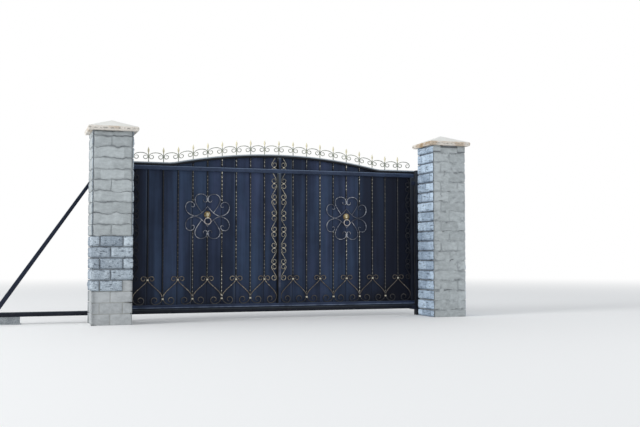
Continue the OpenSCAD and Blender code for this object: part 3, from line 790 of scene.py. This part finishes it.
def capPiece(side):
    low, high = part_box(side + "_cap")
    middle = (low + high) / 2
    half = (high.x - low.x) / 2
    edge, cells, soft = capShape["edge"], capShape["cells"], capShape["soft"]
    rise = high.z - low.z - edge
    bm, eave, lip = blank("eave", "lip")
    bmesh.ops.create_grid(bm, x_segments=cells, y_segments=cells, size=half,
                          matrix=at(middle.x, middle.y, low.z + edge))
    for v in bm.verts:
        reach = max(abs(v.co.x - middle.x), abs(v.co.y - middle.y)) / half
        v.co.z += rise * (1 - reach) - 0.0006
    rim = openEdges(bm)
    for drop in capShape["drops"]:
        rim = pulled(bm, rim, (0, 0, -drop))
    bmesh.ops.edgeloop_fill(bm, edges=rim)
    for v in bm.verts:
        offset = v.co - middle
        reach = max(abs(offset.x), abs(offset.y)) / half
        if reach > 0.999:
            v[eave] = 1.0
            height = v.co.z - low.z
            v[lip] = 1.0 if capShape["lipFrom"] < height / edge < capShape["lipTo"] else 0.0
            nearEdge = 1 - min(height, edge - height, soft) / soft
            chip = max(0.0, rough(v.co, 16, 16) * 1.2 + rough(v.co, 50, 50) * 0.8)
            inward = capShape["round"] * nearEdge ** 2 + capShape["chip"] * chip + 0.0004
            for axis in (0, 1):
                if abs(offset[axis]) > half * 0.999:
                    v.co[axis] -= math.copysign(inward, offset[axis])
        elif reach > 0.94:
            v[eave] = (reach - 0.94) / 0.06 * 0.8
        if v.co.z > low.z + 0.01:
            v.co.z -= abs(rough(v.co, 9, 9)) * 0.0022
    makePiece(bm, side + "CapStone", "pillars", capStone, (side + "_cap",), 32)


for side, word in sides:
    capPiece(word)
print("caps built")


# Tube frame: the frame's own shapes with the rounded edges of rolled tube

roundTubes = {  # edge, top edge, paint
    "bottom_tube": (0.005, 0.006, bottomPaint), "left_stile": (0.005, 0, shadePaint),
    "right_stile": (0.005, 0, shadePaint), "centre_stile": (0.005, 0, stilePaint),
    "straight_rail": (0.005, 0.012, railPaint), "arched_rail": (0.005, 0.024, blackPaint),
    "guide_channel": (0.0012, 0, darkPaint), "tail_post": (0.005, 0, darkPaint),
    "tail_brace": (0.005, 0, darkPaint), "roller_rail": (0.0018, 0, shadePaint),
    "guide_post": (0.005, 0, darkPaint), "closing_post": (0.005, 0, shadePaint)}
for nodeName, (edge, topEdge, finish) in roundTubes.items():
    body = "pillars" if nodeName in ("guide_post", "closing_post") else "leaf"
    dressNode(rounded(nodeName, edge, 2, topEdge), nodeName, body, finish, 30)
for nodeName in ("left_sheet", "right_sheet", "left_arch_sheet", "right_arch_sheet"):
    node = frame["nodes"][nodeName]
    node.data.materials.clear()
    node.data.materials.append(sheetFinish)
print("tube frame built")


# Forged scrolls: a square bar swept along a path of spirals and bends, drawn in mm

forge = {"turn": 14, "corner": 0.0022, "hammer": 0.00035, "tip": 0.62, "tipLength": 0.050}
stock = {"width": 0.011, "depth": 0.012}
halfBar = 5.5
drawnBay = 210


def spiral(centre, startRadius, endRadius, start, end, late=1):
    count = math.ceil(abs(end - start) / forge["turn"])
    points = []
    for i in range(count + 1):
        t = i / count
        radius = startRadius + (endRadius - startRadius) * t ** late
        angle = math.radians(start + (end - start) * t)
        points.append(Vector((centre[0] + radius * math.cos(angle),
                              centre[1] + radius * math.sin(angle))))
    return points


def bend(a, b, c, d, count=9):
    points = []
    for i in range(count):
        t = i / count
        s = 1 - t
        points.append(s ** 3 * Vector(a) + 3 * s * s * t * Vector(b) + 3 * s * t * t * Vector(c)
                      + t ** 3 * Vector(d))
    return points


def fit(points, width):  # a pattern drawn for one width of bay, in a bay of another
    return [Vector((p[0] * width / (drawnBay * mm), p[1])) for p in points]


def thinned(points, gap):  # drops points that lie too near the one before
    kept = points[:1]
    for p in points[1:]:
        if (p - kept[-1]).length > gap:
            kept.append(p)
    return kept


def sweep(points, startTip, endTip, width=stock["width"]):
    path = thinned([p * mm for p in points], 0.0015)
    lengths = [0.0]
    for a, b in zip(path, path[1:]):
        lengths.append(lengths[-1] + (b - a).length)
    places = []
    for i, p in enumerate(path):
        way = (path[min(i + 1, len(path) - 1)] - path[max(i - 1, 0)]).normalized()
        scale = 1.0
        for tip, away in ((startTip, lengths[i]), (endTip, lengths[-1] - lengths[i])):
            if tip and away < forge["tipLength"]:
                scale = min(scale, forge["tip"] + (1 - forge["tip"]) * away / forge["tipLength"])
        rows = (-way.y, 0, way.x, p.x), (0, -1, 0, 0), (way.x, 0, way.y, p.y), (0, 0, 0, 1)
        places.append(Matrix(rows) @ sized(scale, 1, 1))
    bm, rub = blank("rub")
    barSection(bm, sized(width, stock["depth"], 1), forge["corner"], 2)
    for v in bm.verts:
        v[rub] = 0.12 + 0.62 * (v.co.y > 0) + 0.26 * (abs(v.co.x) > width * 0.3)
    drawn(bm, places)
    return meshOf(bm)


def collarPart(width, height, depth):  # a band with a ridge round its middle
    bm, rub = blank("rub")
    bmesh.ops.create_cube(bm, size=1, matrix=sized(width, depth, height))
    upright = [e for e in bm.edges if not isLevel(e)]
    bmesh.ops.subdivide_edges(bm, edges=upright, cuts=4, use_grid_fill=True)
    for v in bm.verts:
        swell = 1.05 if abs(v.co.z) < height * 0.15 else 0.94 if abs(v.co.z) < height * 0.4 else 1
        v.co.x *= swell
        v.co.y *= swell
    bevel(bm, bm.edges[:], 0.0012, 1)
    for v in bm.verts:
        v[rub] = 1.5 if v.co.y < 0 else 0.5
    return meshOf(bm)


def hammered(bm, wear=1.0):  # small dents; wear sets how much of the bars is rubbed, collars apart
    bm.normal_update()
    rub = bm.verts.layers.float["rub"]
    for v in bm.verts:
        v.co += v.normal * (noise.noise(v.co * 70) * forge["hammer"])
        if v[rub] < 1.3:
            v[rub] *= wear
    return bm


def dressScroll(bm, nodeName, material):
    dressNode(bm, nodeName, "leaf", material)


pairCollar = collarPart(0.028, 0.020, 0.0166)

# Hearts along the bottom
heart = {"kiss": 0.352, "joint": 0.082, "horn": (56, 367), "hornReach": 32, "hornEye": 14,
         "eye": (100, 64), "footEye": 20, "wear": {"left": 0.76, "right": 0.62}}


def heartPath(width):
    side = (halfBar + 0.05) * (drawnBay * mm) / width
    (x, z), reach = heart["horn"], heart["hornReach"]
    eye = heart["eye"]
    foot = drawnBay - side
    top = (bend((side, 358), (side, 382), (30, z + reach), (x, z + reach), 8)
           + spiral((x, z), reach, heart["hornEye"], 90, -190, 3))
    return fit(top[::-1] + bend((side, 352), (side + 6, 292), (foot, 190), (foot, 105), 16)
               + bend((foot, 105), (foot, 50), (165, halfBar), (eye[0], halfBar), 10)
               + spiral(eye, eye[1] - halfBar, heart["footEye"], -90, -450), width)


heartBar, firstHeartBar = (sweep(heartPath(width), True, True) for width in (pitch, firstBay))
for side, word in sides:
    bm = blank("rub")[0]
    for j in range(bays // 2):
        middle = onLeaf(side, barX(2 * j + 1), floorZ)
        addCopy(bm, heartBar, middle)
        addCopy(bm, heartBar if j else firstHeartBar, middle @ flipX)
    for k in range(1, bays):
        height = heart["kiss"] if k % 2 else heart["joint"]
        addCopy(bm, pairCollar, onLeaf(side, barX(k), floorZ + height))
    dressScroll(hammered(bm, heart["wear"][word]), word + "_hearts", bronze)
print("hearts built")

# Rosettes: two hearts and four loops round a diamond
rosette = {"z": 1.480, "bay": 5, "reach": 0.250, "sideReach": 0.196 * pitch / (drawnBay * mm),
           "loopTop": 0.194, "brightWide": 0.022, "brightFrom": 0.205,
           "wear": {"left": 1.0, "right": 0.93}}


def rosetteHeart():
    k = halfBar
    return fit(spiral((k + 30, 232), 26, 30, 20, -180)
               + bend((k, 250), (k, 290), (45, 320), (94, 320))
               + bend((94, 320), (145, 320), (182, 285), (182, 235), 8)
               + bend((182, 235), (182, 180), (128, 118), (84, 50), 12)
               + [Vector((84, 50))], pitch)


def rosetteLoop():
    k = halfBar
    return fit(bend((-4, 147), (40, 95), (92, 22), (170, k), 12)
               + bend((170, k), (245, k), (316, 50), (316, 126), 12)
               + bend((316, 126), (316, 174), (290, 206), (250, 206), 8)
               + bend((250, 206), (213, 206), (190, 182), (190, 152), 7)
               + spiral((212, 152), 22, 20, 180, 330), pitch)


rosetteParts = (sweep(rosetteHeart(), True, False), sweep(rosetteLoop(), False, True))
for side, word in sides:
    bm, rub = blank("rub")
    centre = onLeaf(side, barX(rosette["bay"]), rosette["z"])
    for sx in (1, -1):
        for sz in (1, -1):
            for part in rosetteParts:
                addCopy(bm, part, centre @ sized(sx, 1, sz))
        addCopy(bm, pairCollar, centre @ at(0, 0, sx * rosette["reach"]))
        for v in addCopy(bm, pairCollar, centre @ at(sx * rosette["sideReach"], 0, 0)):
            v[rub] *= 0.55
    for v in bm.verts:  # rubbed bright where the hearts meet, top and bottom
        away = v.co - centre.translation
        if abs(away.x) < rosette["brightWide"] and abs(away.z) > rosette["brightFrom"]:
            v[rub] *= 1.4
    dressScroll(hammered(bm, rosette["wear"][word]), word + "_rosette", lilac)
print("rosettes built")

# Twisted bars
twist = {"side": 0.014, "corner": 0.0016, "turn": 0.220, "step": 0.0110, "plain": 0.030,
         "least": 0.042}
intoCollar = 0.008


def twistedBar(low, high):
    bm = bmesh.new()
    barSection(bm, at(0, 0, low) @ sized(twist["side"], twist["side"], 1), twist["corner"], 1)
    ends = min(twist["plain"], (high - low) / 4)
    length = high - low - 2 * ends
    steps = max(2, round(length / twist["step"]))
    face = bm.faces[:]
    stretches = (ends, 0, 1), (length, length / twist["turn"], steps), (ends, 0, 1)
    for lift, turns, count in stretches:
        made = bmesh.ops.spin(bm, geom=face, cent=(0, 0, 0), axis=(0, 0, 1),
                              dvec=(0, 0, lift / count), angle=turns * 2 * math.pi, steps=count,
                              use_duplicate=False)["geom_last"]
        face = facesOf(made)
    return meshOf(bm)


def barStops(k):  # the stretches of bar k, from the heart below to the rail above
    foot = floorZ + heart["kiss" if k % 2 else "joint"] + intoCollar
    gap = abs(k - rosette["bay"])
    if gap > 1:
        return [(foot, railLow.z)]
    reach = rosette["loopTop"] if gap else rosette["reach"] + intoCollar
    return [(foot, rosette["z"] - reach), (rosette["z"] + reach, railLow.z)]


for side, word in sides:
    bm = bmesh.new()
    for k in range(1, bays):
        stops = barStops(k)
        if archRise(barX(k)) > twist["least"]:  # it goes on above the straight rail
            stops.append((railHigh.z, railHigh.z + archRise(barX(k)) + 0.002))
        for low, high in stops:
            part = twistedBar(low, high)
            addCopy(bm, part, onLeaf(side, barX(k), 0))
            bpy.data.meshes.remove(part)
    dressScroll(bm, word + "_bars", barFinish)
print("bars built")

# Chains of scrolls beside the stiles
chain = {"pitch": 238, "radius": 38, "width": 10, "eye": 10, "kissBelowRail": 151, "count": 6,
         # the end chains' low wear, lowest on the left, is painted shade from the pillars
         "wear": {"left": 0.15, "right": 0.4, "centre": 1.2}}
chainCollar = collarPart(0.0205, 0.018, 0.0158)
chainX = fieldStart + (chain["radius"] + chain["width"] / 2) * mm


def chainHook():
    eye = chain["pitch"] / 2 - chain["radius"] - chain["width"] / 2
    lean = math.degrees(math.acos(chain["radius"] / eye))
    return (spiral((0, eye), chain["radius"], chain["eye"], 90, 400, 1.5)[::-1]
            + spiral((0, eye), chain["radius"], chain["radius"], 76, lean - 90))


hook = chainHook()
chainBar = sweep(hook + [-p for p in hook[::-1]], True, True, chain["width"] * mm)


def chainZ(i):  # the middle of scroll i, counted down from the highest whole one
    return railLow.z - (chain["kissBelowRail"] + (i + 0.5) * chain["pitch"]) * mm


def chainPlace(i):
    return at(0, 0, chainZ(i)) @ (unmoved if i % 2 else flipX)


def cutBar(i, low, high):  # scroll i, cut off by the rail below it or above it
    bm = blank("rub")[0]
    addCopy(bm, chainBar, chainPlace(i))
    for z, up in ((low, -1), (high, 1)):
        bmesh.ops.bisect_plane(bm, geom=bm.verts[:] + bm.edges[:] + bm.faces[:],
                               plane_co=(0, 0, z), plane_no=(0, 0, up), clear_outer=True)
        bmesh.ops.holes_fill(bm, edges=openEdges(bm))
    return meshOf(bm)


for name, place, mirror in (("centre", chainX, unmoved),
                            ("end", leafHalf - tube - (chainX - fieldStart), flipX)):
    for side, word in sides:
        bm, rub = blank("rub")
        middle = onLeaf(side, place, 0)
        for i in range(chain["count"]):
            addCopy(bm, chainBar, middle @ mirror @ chainPlace(i))
            addCopy(bm, chainCollar, middle @ at(0, 0, chainZ(i) + chain["pitch"] / 2 * mm))
        addCopy(bm, cutBar(-1, 0, railLow.z), middle @ mirror)
        if name == "centre":
            top = railHigh.z + archRise(chainX) + 0.001
            for i in (-1, -2):
                addCopy(bm, cutBar(i, railHigh.z, top), middle)
            addCopy(bm, chainCollar, middle @ at(0, 0, chainZ(-2) - chain["pitch"] / 2 * mm))
        else:
            # the end chains rubbed less: painted shade, as they lie in the pillars' shadow
            for v in bm.verts:
                v[rub] *= 0.6
        wear = chain["wear"]["centre" if name == "centre" else word]
        dressScroll(hammered(bm, wear), f"{word}_{name}_chain", bronze)
print("chains built")

# Cresting: hoops between stems, with spear points
crest = {"stem": 0.012, "height": 0.120, "top": 129, "side": 72, "eye": 36, "bar": 10, "lap": 1.5}
spearShape = {  # height, width and depth up the blade; height and radius of the beads
    "blade": ((0.0, 0.012, 0.012), (0.008, 0.012, 0.012), (0.018, 0.019, 0.014),
              (0.029, 0.027, 0.018), (0.040, 0.0315, 0.020), (0.050, 0.030, 0.018),
              (0.064, 0.022, 0.013), (0.080, 0.010, 0.007), (0.0935, 0.0025, 0.0025)),
    "beads": ((0.004, 0.0088), (0.0125, 0.0072)), "beadHeight": 0.0055}


def crestX(k):
    return 0.0 if k == 0 else barX(k)


def crestZ(x):
    return railHigh.z + archRise(x) + arch["rail"]


def hoopPath(reach):
    top, low = crest["top"], crest["side"]
    return (bend((0, top), (reach * 0.58, top), (reach, top - 20), (reach, low), 12)
            + spiral((reach - crest["eye"], low), crest["eye"], 15, 0, -330))


def spearPart():
    bm, rub = blank("rub")
    barSection(bm, turned(45, "Z") @ sized(0.7071, 0.7071, 1), 0.045, 1)
    for v in bm.verts:
        v[rub] = 0.9
    drawn(bm, [at(0, 0, z) @ sized(wide, deep, 1) for z, wide, deep in spearShape["blade"]])
    tall = spearShape["beadHeight"]
    for z, radius in spearShape["beads"]:
        for v in addCopy(bm, rodPart(radius, tall, 16, 0.0018, at(0, 0, z - tall / 2))):
            v[rub] = 0.95
    return meshOf(bm)


def stemPart(x):  # its foot follows the arch
    bm, rub = blank("rub")
    bmesh.ops.create_cube(bm, size=1, matrix=at(0, 0, crest["height"] / 2)
                          @ sized(crest["stem"], stock["depth"], crest["height"]))
    bevel(bm, [e for e in bm.edges if not isLevel(e)], 0.002, 2)
    for v in bm.verts:
        v[rub] = 0.8 if v.co.y < 0 else 0.2
        if v.co.z < 0.01:
            v.co.z = archRise(x + v.co.x) - archRise(x) - 0.001
    return meshOf(bm)


spear = spearPart()
points = blank("rub")[0]
for side, word in sides:
    bm = blank("rub")[0]
    for k in range(bays):
        x, xEnd = crestX(k), crestX(k + 1)
        if k or side > 0:
            addCopy(bm, stemPart(x), onLeaf(side, x, crestZ(x), leafMid))
            addCopy(points, spear, onLeaf(side, x, crestZ(x) + crest["height"] - 0.001, leafMid))
        slope = (crestZ(xEnd) - crestZ(x)) / (xEnd - x)
        shear = Matrix(((1, 0, 0, 0), (0, 1, 0, 0), (slope, 0, 1, 0), (0, 0, 0, 1)))
        reach = ((xEnd - x) / mm - crest["stem"] / mm - crest["bar"]) / 2 + crest["lap"]
        hoop = sweep(hoopPath(reach), False, True, crest["bar"] * mm)
        middle = onLeaf(side, (x + xEnd) / 2, (crestZ(x) + crestZ(xEnd)) / 2, leafMid)
        for mirror in (unmoved, flipX):
            addCopy(bm, hoop, middle @ shear @ mirror)
    dressScroll(hammered(bm), word + "_cresting", crestIron)
dressNode(points, "spear_points", "leaf", paleGold, 20)
print("cresting built")


# Lion masks: a cast relief on a disc, and the rings in their mouths

lion = {"size": 0.0490, "deep": 0.034, "cells": 84, "above": 0.025, "mane": 0.42}
lionForms = {  # place across and up, width, height and relief, on both halves of the face
    "muzzle": (0.0, -0.30, 0.24, 0.20, 0.26), "whiskers": (0.12, -0.32, 0.11, 0.12, 0.12),
    "bridge": (0.0, 0.10, 0.085, 0.26, 0.15), "nose": (0.0, -0.14, 0.12, 0.075, 0.15),
    "brow": (0.20, 0.25, 0.15, 0.065, 0.14), "socket": (0.205, 0.12, 0.10, 0.075, -0.17),
    "eye": (0.205, 0.12, 0.05, 0.042, 0.12), "cheek": (0.33, -0.08, 0.14, 0.15, 0.10),
    "ear": (0.46, 0.50, 0.12, 0.12, 0.16), "earHollow": (0.46, 0.47, 0.05, 0.06, -0.12),
    "forehead": (0.0, 0.50, 0.16, 0.20, 0.10), "mouth": (0.0, -0.47, 0.17, 0.035, -0.20),
    "chin": (0.0, -0.62, 0.15, 0.10, 0.16), "lipSplit": (0.0, -0.24, 0.018, 0.09, -0.08)}


def swelling(u, v, x, y, wide, tall, height):
    return height * math.exp(-((u - x) / wide) ** 2 - ((v - y) / tall) ** 2)


def lionDome(u, v):
    return 0.42 * (1 - math.hypot(u, v) ** 2.2) + swelling(u, v, 0, 0.0, 0.46, 0.52, 0.26)


def lionRelief(u, v):
    r, turn = math.hypot(u, v), math.atan2(u, v)
    lock = math.cos(turn * 15 + r * 5.0) * 0.5 + math.cos(turn * 23 - r * 9.0) * 0.28
    inMane = min(1.0, max(0.0, (r - lion["mane"]) / 0.25)) * max(0.0, 1 - r ** 4)
    forms = sum(swelling(abs(u), v, *form) for form in lionForms.values())
    return max(0.0, lionDome(u, v) + 0.10 * lock * inMane + forms)


def lionMask(side, word):
    bm, rub = blank("rub")
    bmesh.ops.create_grid(bm, x_segments=lion["cells"], y_segments=lion["cells"], size=1)
    for v in bm.verts:  # the square grid is drawn into a disc
        x, y = v.co.x, v.co.y
        u, w = x * math.sqrt(1 - y * y / 2), y * math.sqrt(1 - x * x / 2)
        r, h = math.hypot(u, w), lionRelief(u, w)
        ragged = 1 + 0.055 * math.cos(math.atan2(u, w) * 15 + 5.0) * r ** 6
        # raised parts rubbed bright, hollows dark with patina; the bright brow, nose and middle
        # are also a painted highlight
        v[rub] = max(0.0, min(1.3, 0.2 + (h - lionDome(u, w)) * 6.0 + 0.25 * (1 - r)))
        v.co = Vector((u * ragged, 0, w * ragged)) * lion["size"]
        v.co.y = -0.004 - h * lion["deep"]
    made = bmesh.ops.extrude_edge_only(bm, edges=openEdges(bm))["geom"]
    for v in vertsOf(made):
        v.co.y = 0.0005
    bmesh.ops.holes_fill(bm, edges=openEdges(bm))
    centre = at(leafX + side * barX(rosette["bay"]), sheetY, rosette["z"] + lion["above"])
    bmesh.ops.transform(bm, matrix=centre, verts=bm.verts)
    ringLow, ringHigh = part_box(word + "_ring")
    x, y, z = centre.translation.x, (ringLow.y + ringHigh.y) / 2, ringHigh.z - 0.005  # the jaw
    knuckle = rodPart(0.0115, 0.018, 24, 0.003, at(x - 0.009, y, z) @ turned(90, "Y"))
    lip = boxPart((0.017, 0.026, 0.018), (x, y + 0.014, z + 0.003), 0.004, 3)
    for part in (knuckle, lip):
        for v in addCopy(bm, part):
            v[rub] = 0.7
    dressNode(bm, word + "_lion_mask", "leaf", gold, 50)


def ringPiece(word):
    low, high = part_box(word + "_ring")
    wire = (high.y - low.y) / 2
    reach = (high.z - low.z) / 2 - wire
    bm, rub = blank("rub")
    bmesh.ops.create_circle(bm, segments=16, radius=wire - 0.0002,
                            matrix=at(reach, 0, 0) @ turned(90, "X"))
    for v in bm.verts:
        v[rub] = 0.8
    bmesh.ops.spin(bm, geom=bm.verts[:] + bm.edges[:], cent=(0, 0, 0), axis=(0, 0, 1),
                   angle=2 * math.pi, steps=64, use_merge=True, use_duplicate=False)
    bmesh.ops.transform(bm, matrix=at(*(low + high) / 2) @ turned(90, "X"), verts=bm.verts)
    dressNode(bm, word + "_ring", word + "_knocker", ringIron, 60)


for side, word in sides:
    lionMask(side, word)
    ringPiece(word)
print("masks and rings built")


# Roller gear behind the pillars

bolt = {"radius": 0.0095, "washer": 0.0025, "nut": 0.0085, "plateTop": 0.012}
axle = {"radius": 0.016, "across": 0.090, "out": 0.0165, "z": 0.130}


def boltsOn(bm, mountName):
    mount = next(m for m in frame["record"]["mounts"] if m["name"] == mountName)
    x, y = mount["pos_m"][:2]
    halfX, halfY = (mount["dims"][f"spacing_{way}_mm"] / 2 * mm for way in "xy")
    radius = bolt["radius"]
    parts = ((0.0, rodPart(radius * 1.45, bolt["washer"], 24, 0.0005)),
             (bolt["washer"], rodPart(radius * 1.1, bolt["nut"], 6, 0.0008)),
             (bolt["washer"] + bolt["nut"], rodPart(radius * 0.6, 0.007, 16, 0.001)))
    for i in (-1, 1):
        for j in (-1, 1):
            for lift, part in parts:
                addCopy(bm, part, at(x + i * halfX, y + j * halfY, bolt["plateTop"] + lift))


def carriagePiece(word):
    low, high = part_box(word + "_carriage")
    middle = (low + high) / 2
    bm = bmesh.new()
    addCopy(bm, meshOf(rounded(word + "_carriage", 0.0012, 1)))
    boltsOn(bm, word + "_carriage_bolts")
    for i in (-1, 1):
        for j in (-1, 1):
            face = at(middle.x + i * axle["across"], middle.y + j * axle["out"], axle["z"])
            addCopy(bm, rodPart(axle["radius"], 0.0012, 32, 0.0004), face @ turned(-90 * j, "X"))
    dressNode(bm, word + "_carriage", "pillars", steel, 30)


for word in ("front", "rear"):
    carriagePiece(word)
anchors = bmesh.new()
boltsOn(anchors, "guide_post_bolts")
makePiece(anchors, "guideBolts", "pillars", steel)
for nodeName, slotName, finish in (("top_guide", "zinc_steel", steel),
                                   ("lower_catcher", "frame_paint", darkPaint),
                                   ("upper_catcher", "frame_paint", darkPaint)):
    dressNode(rounded(nodeName, 0.001, 1), nodeName, "pillars", finish, 30)
print("roller gear built")


# Floor, light and camera

studio = {"floor": paint(248, 248, 247), "sky": 0.66, "key": 4600.0, "fill": 80.0,
          "middle": (2.5, 0, 0), "fade": (8, 26)}
view = {"place": (-1.268, -12.247, 0.927), "yaw": 19.18, "pitch": 2.66, "lens": 50}


def addObject(name, data):
    made = bpy.data.objects.new(name, data)
    bpy.context.scene.collection.objects.link(made)
    return made


def flatStage(name, size, place):  # far away the camera sees it fade into the white backdrop
    bm = bmesh.new()
    bmesh.ops.create_grid(bm, x_segments=1, y_segments=1, size=size, matrix=at(*place))
    s = Shader(name, Roughness=0.9, Base_Color=studio["floor"])
    white = s.node("ShaderNodeEmission", {}, {"Color": (1, 1, 1, 1), "Strength": 1.0})
    away = s.node("ShaderNodeVectorMath", {"operation": "DISTANCE"},
                  {0: s.place, 1: studio["middle"]}, "Value")
    seen = s.node("ShaderNodeLightPath", {}, {}, "Is Camera Ray")
    fade = away.ease(*studio["fade"]) * seen
    lit = Link(s, s.surface.outputs[0])
    s.show(s.node("ShaderNodeMixShader", {}, {0: fade, 1: lit, 2: white}), "Material Output")
    mesh = meshOf(bm, name)
    mesh.materials.append(s.material)
    addObject(name, mesh)


def whiteStudio():  # an even sky that the camera and reflections see as white
    world = bpy.data.worlds.new("studio")
    bpy.context.scene.world = world
    w = Nodes(world)
    sky = w.tree.nodes["Background"]
    sky.inputs["Color"].default_value = (0.93, 0.96, 1.0, 1)
    sky.inputs["Strength"].default_value = studio["sky"]
    white = w.node("ShaderNodeBackground", {}, {"Color": (1, 1, 1, 1), "Strength": 1.0})
    seen = w.node("ShaderNodeLightPath", {}, {}, "Is Camera Ray")
    for ray in ("Is Glossy Ray", "Is Transmission Ray"):
        seen = seen.maths("MAXIMUM", seen, w.node("ShaderNodeLightPath", {}, {}, ray))
    lit = Link(w, sky.outputs[0])
    w.show(w.node("ShaderNodeMixShader", {}, {0: seen, 1: lit, 2: white}), "World Output")


def areaLight(name, place, size, power, aim=(2.5, 0.3, 1.2)):
    lamp = bpy.data.lights.new(name, "AREA")
    lamp.size = size
    lamp.energy = power
    lampObject = addObject(name, lamp)
    lampObject.location = place
    lampObject.rotation_euler = (Vector(aim) - Vector(place)).to_track_quat("-Z", "Y").to_euler()


flatStage("floor", 60, (2.5, 10, -0.001))
whiteStudio()
areaLight("keyLight", (-24, -7, 12), 10, studio["key"])
areaLight("fillLight", (9, -8, 5), 6, studio["fill"])

camera = bpy.data.cameras.new("camera")
camera.lens = view["lens"]
camera.sensor_width = 36
cameraObject = addObject("camera", camera)
cameraObject.location = view["place"]
cameraObject.rotation_euler = (math.radians(90 + view["pitch"]), 0, -math.radians(view["yaw"]))
bpy.context.scene.camera = cameraObject
bpy.context.scene.view_settings.view_transform = "Standard"

print("scene ready")
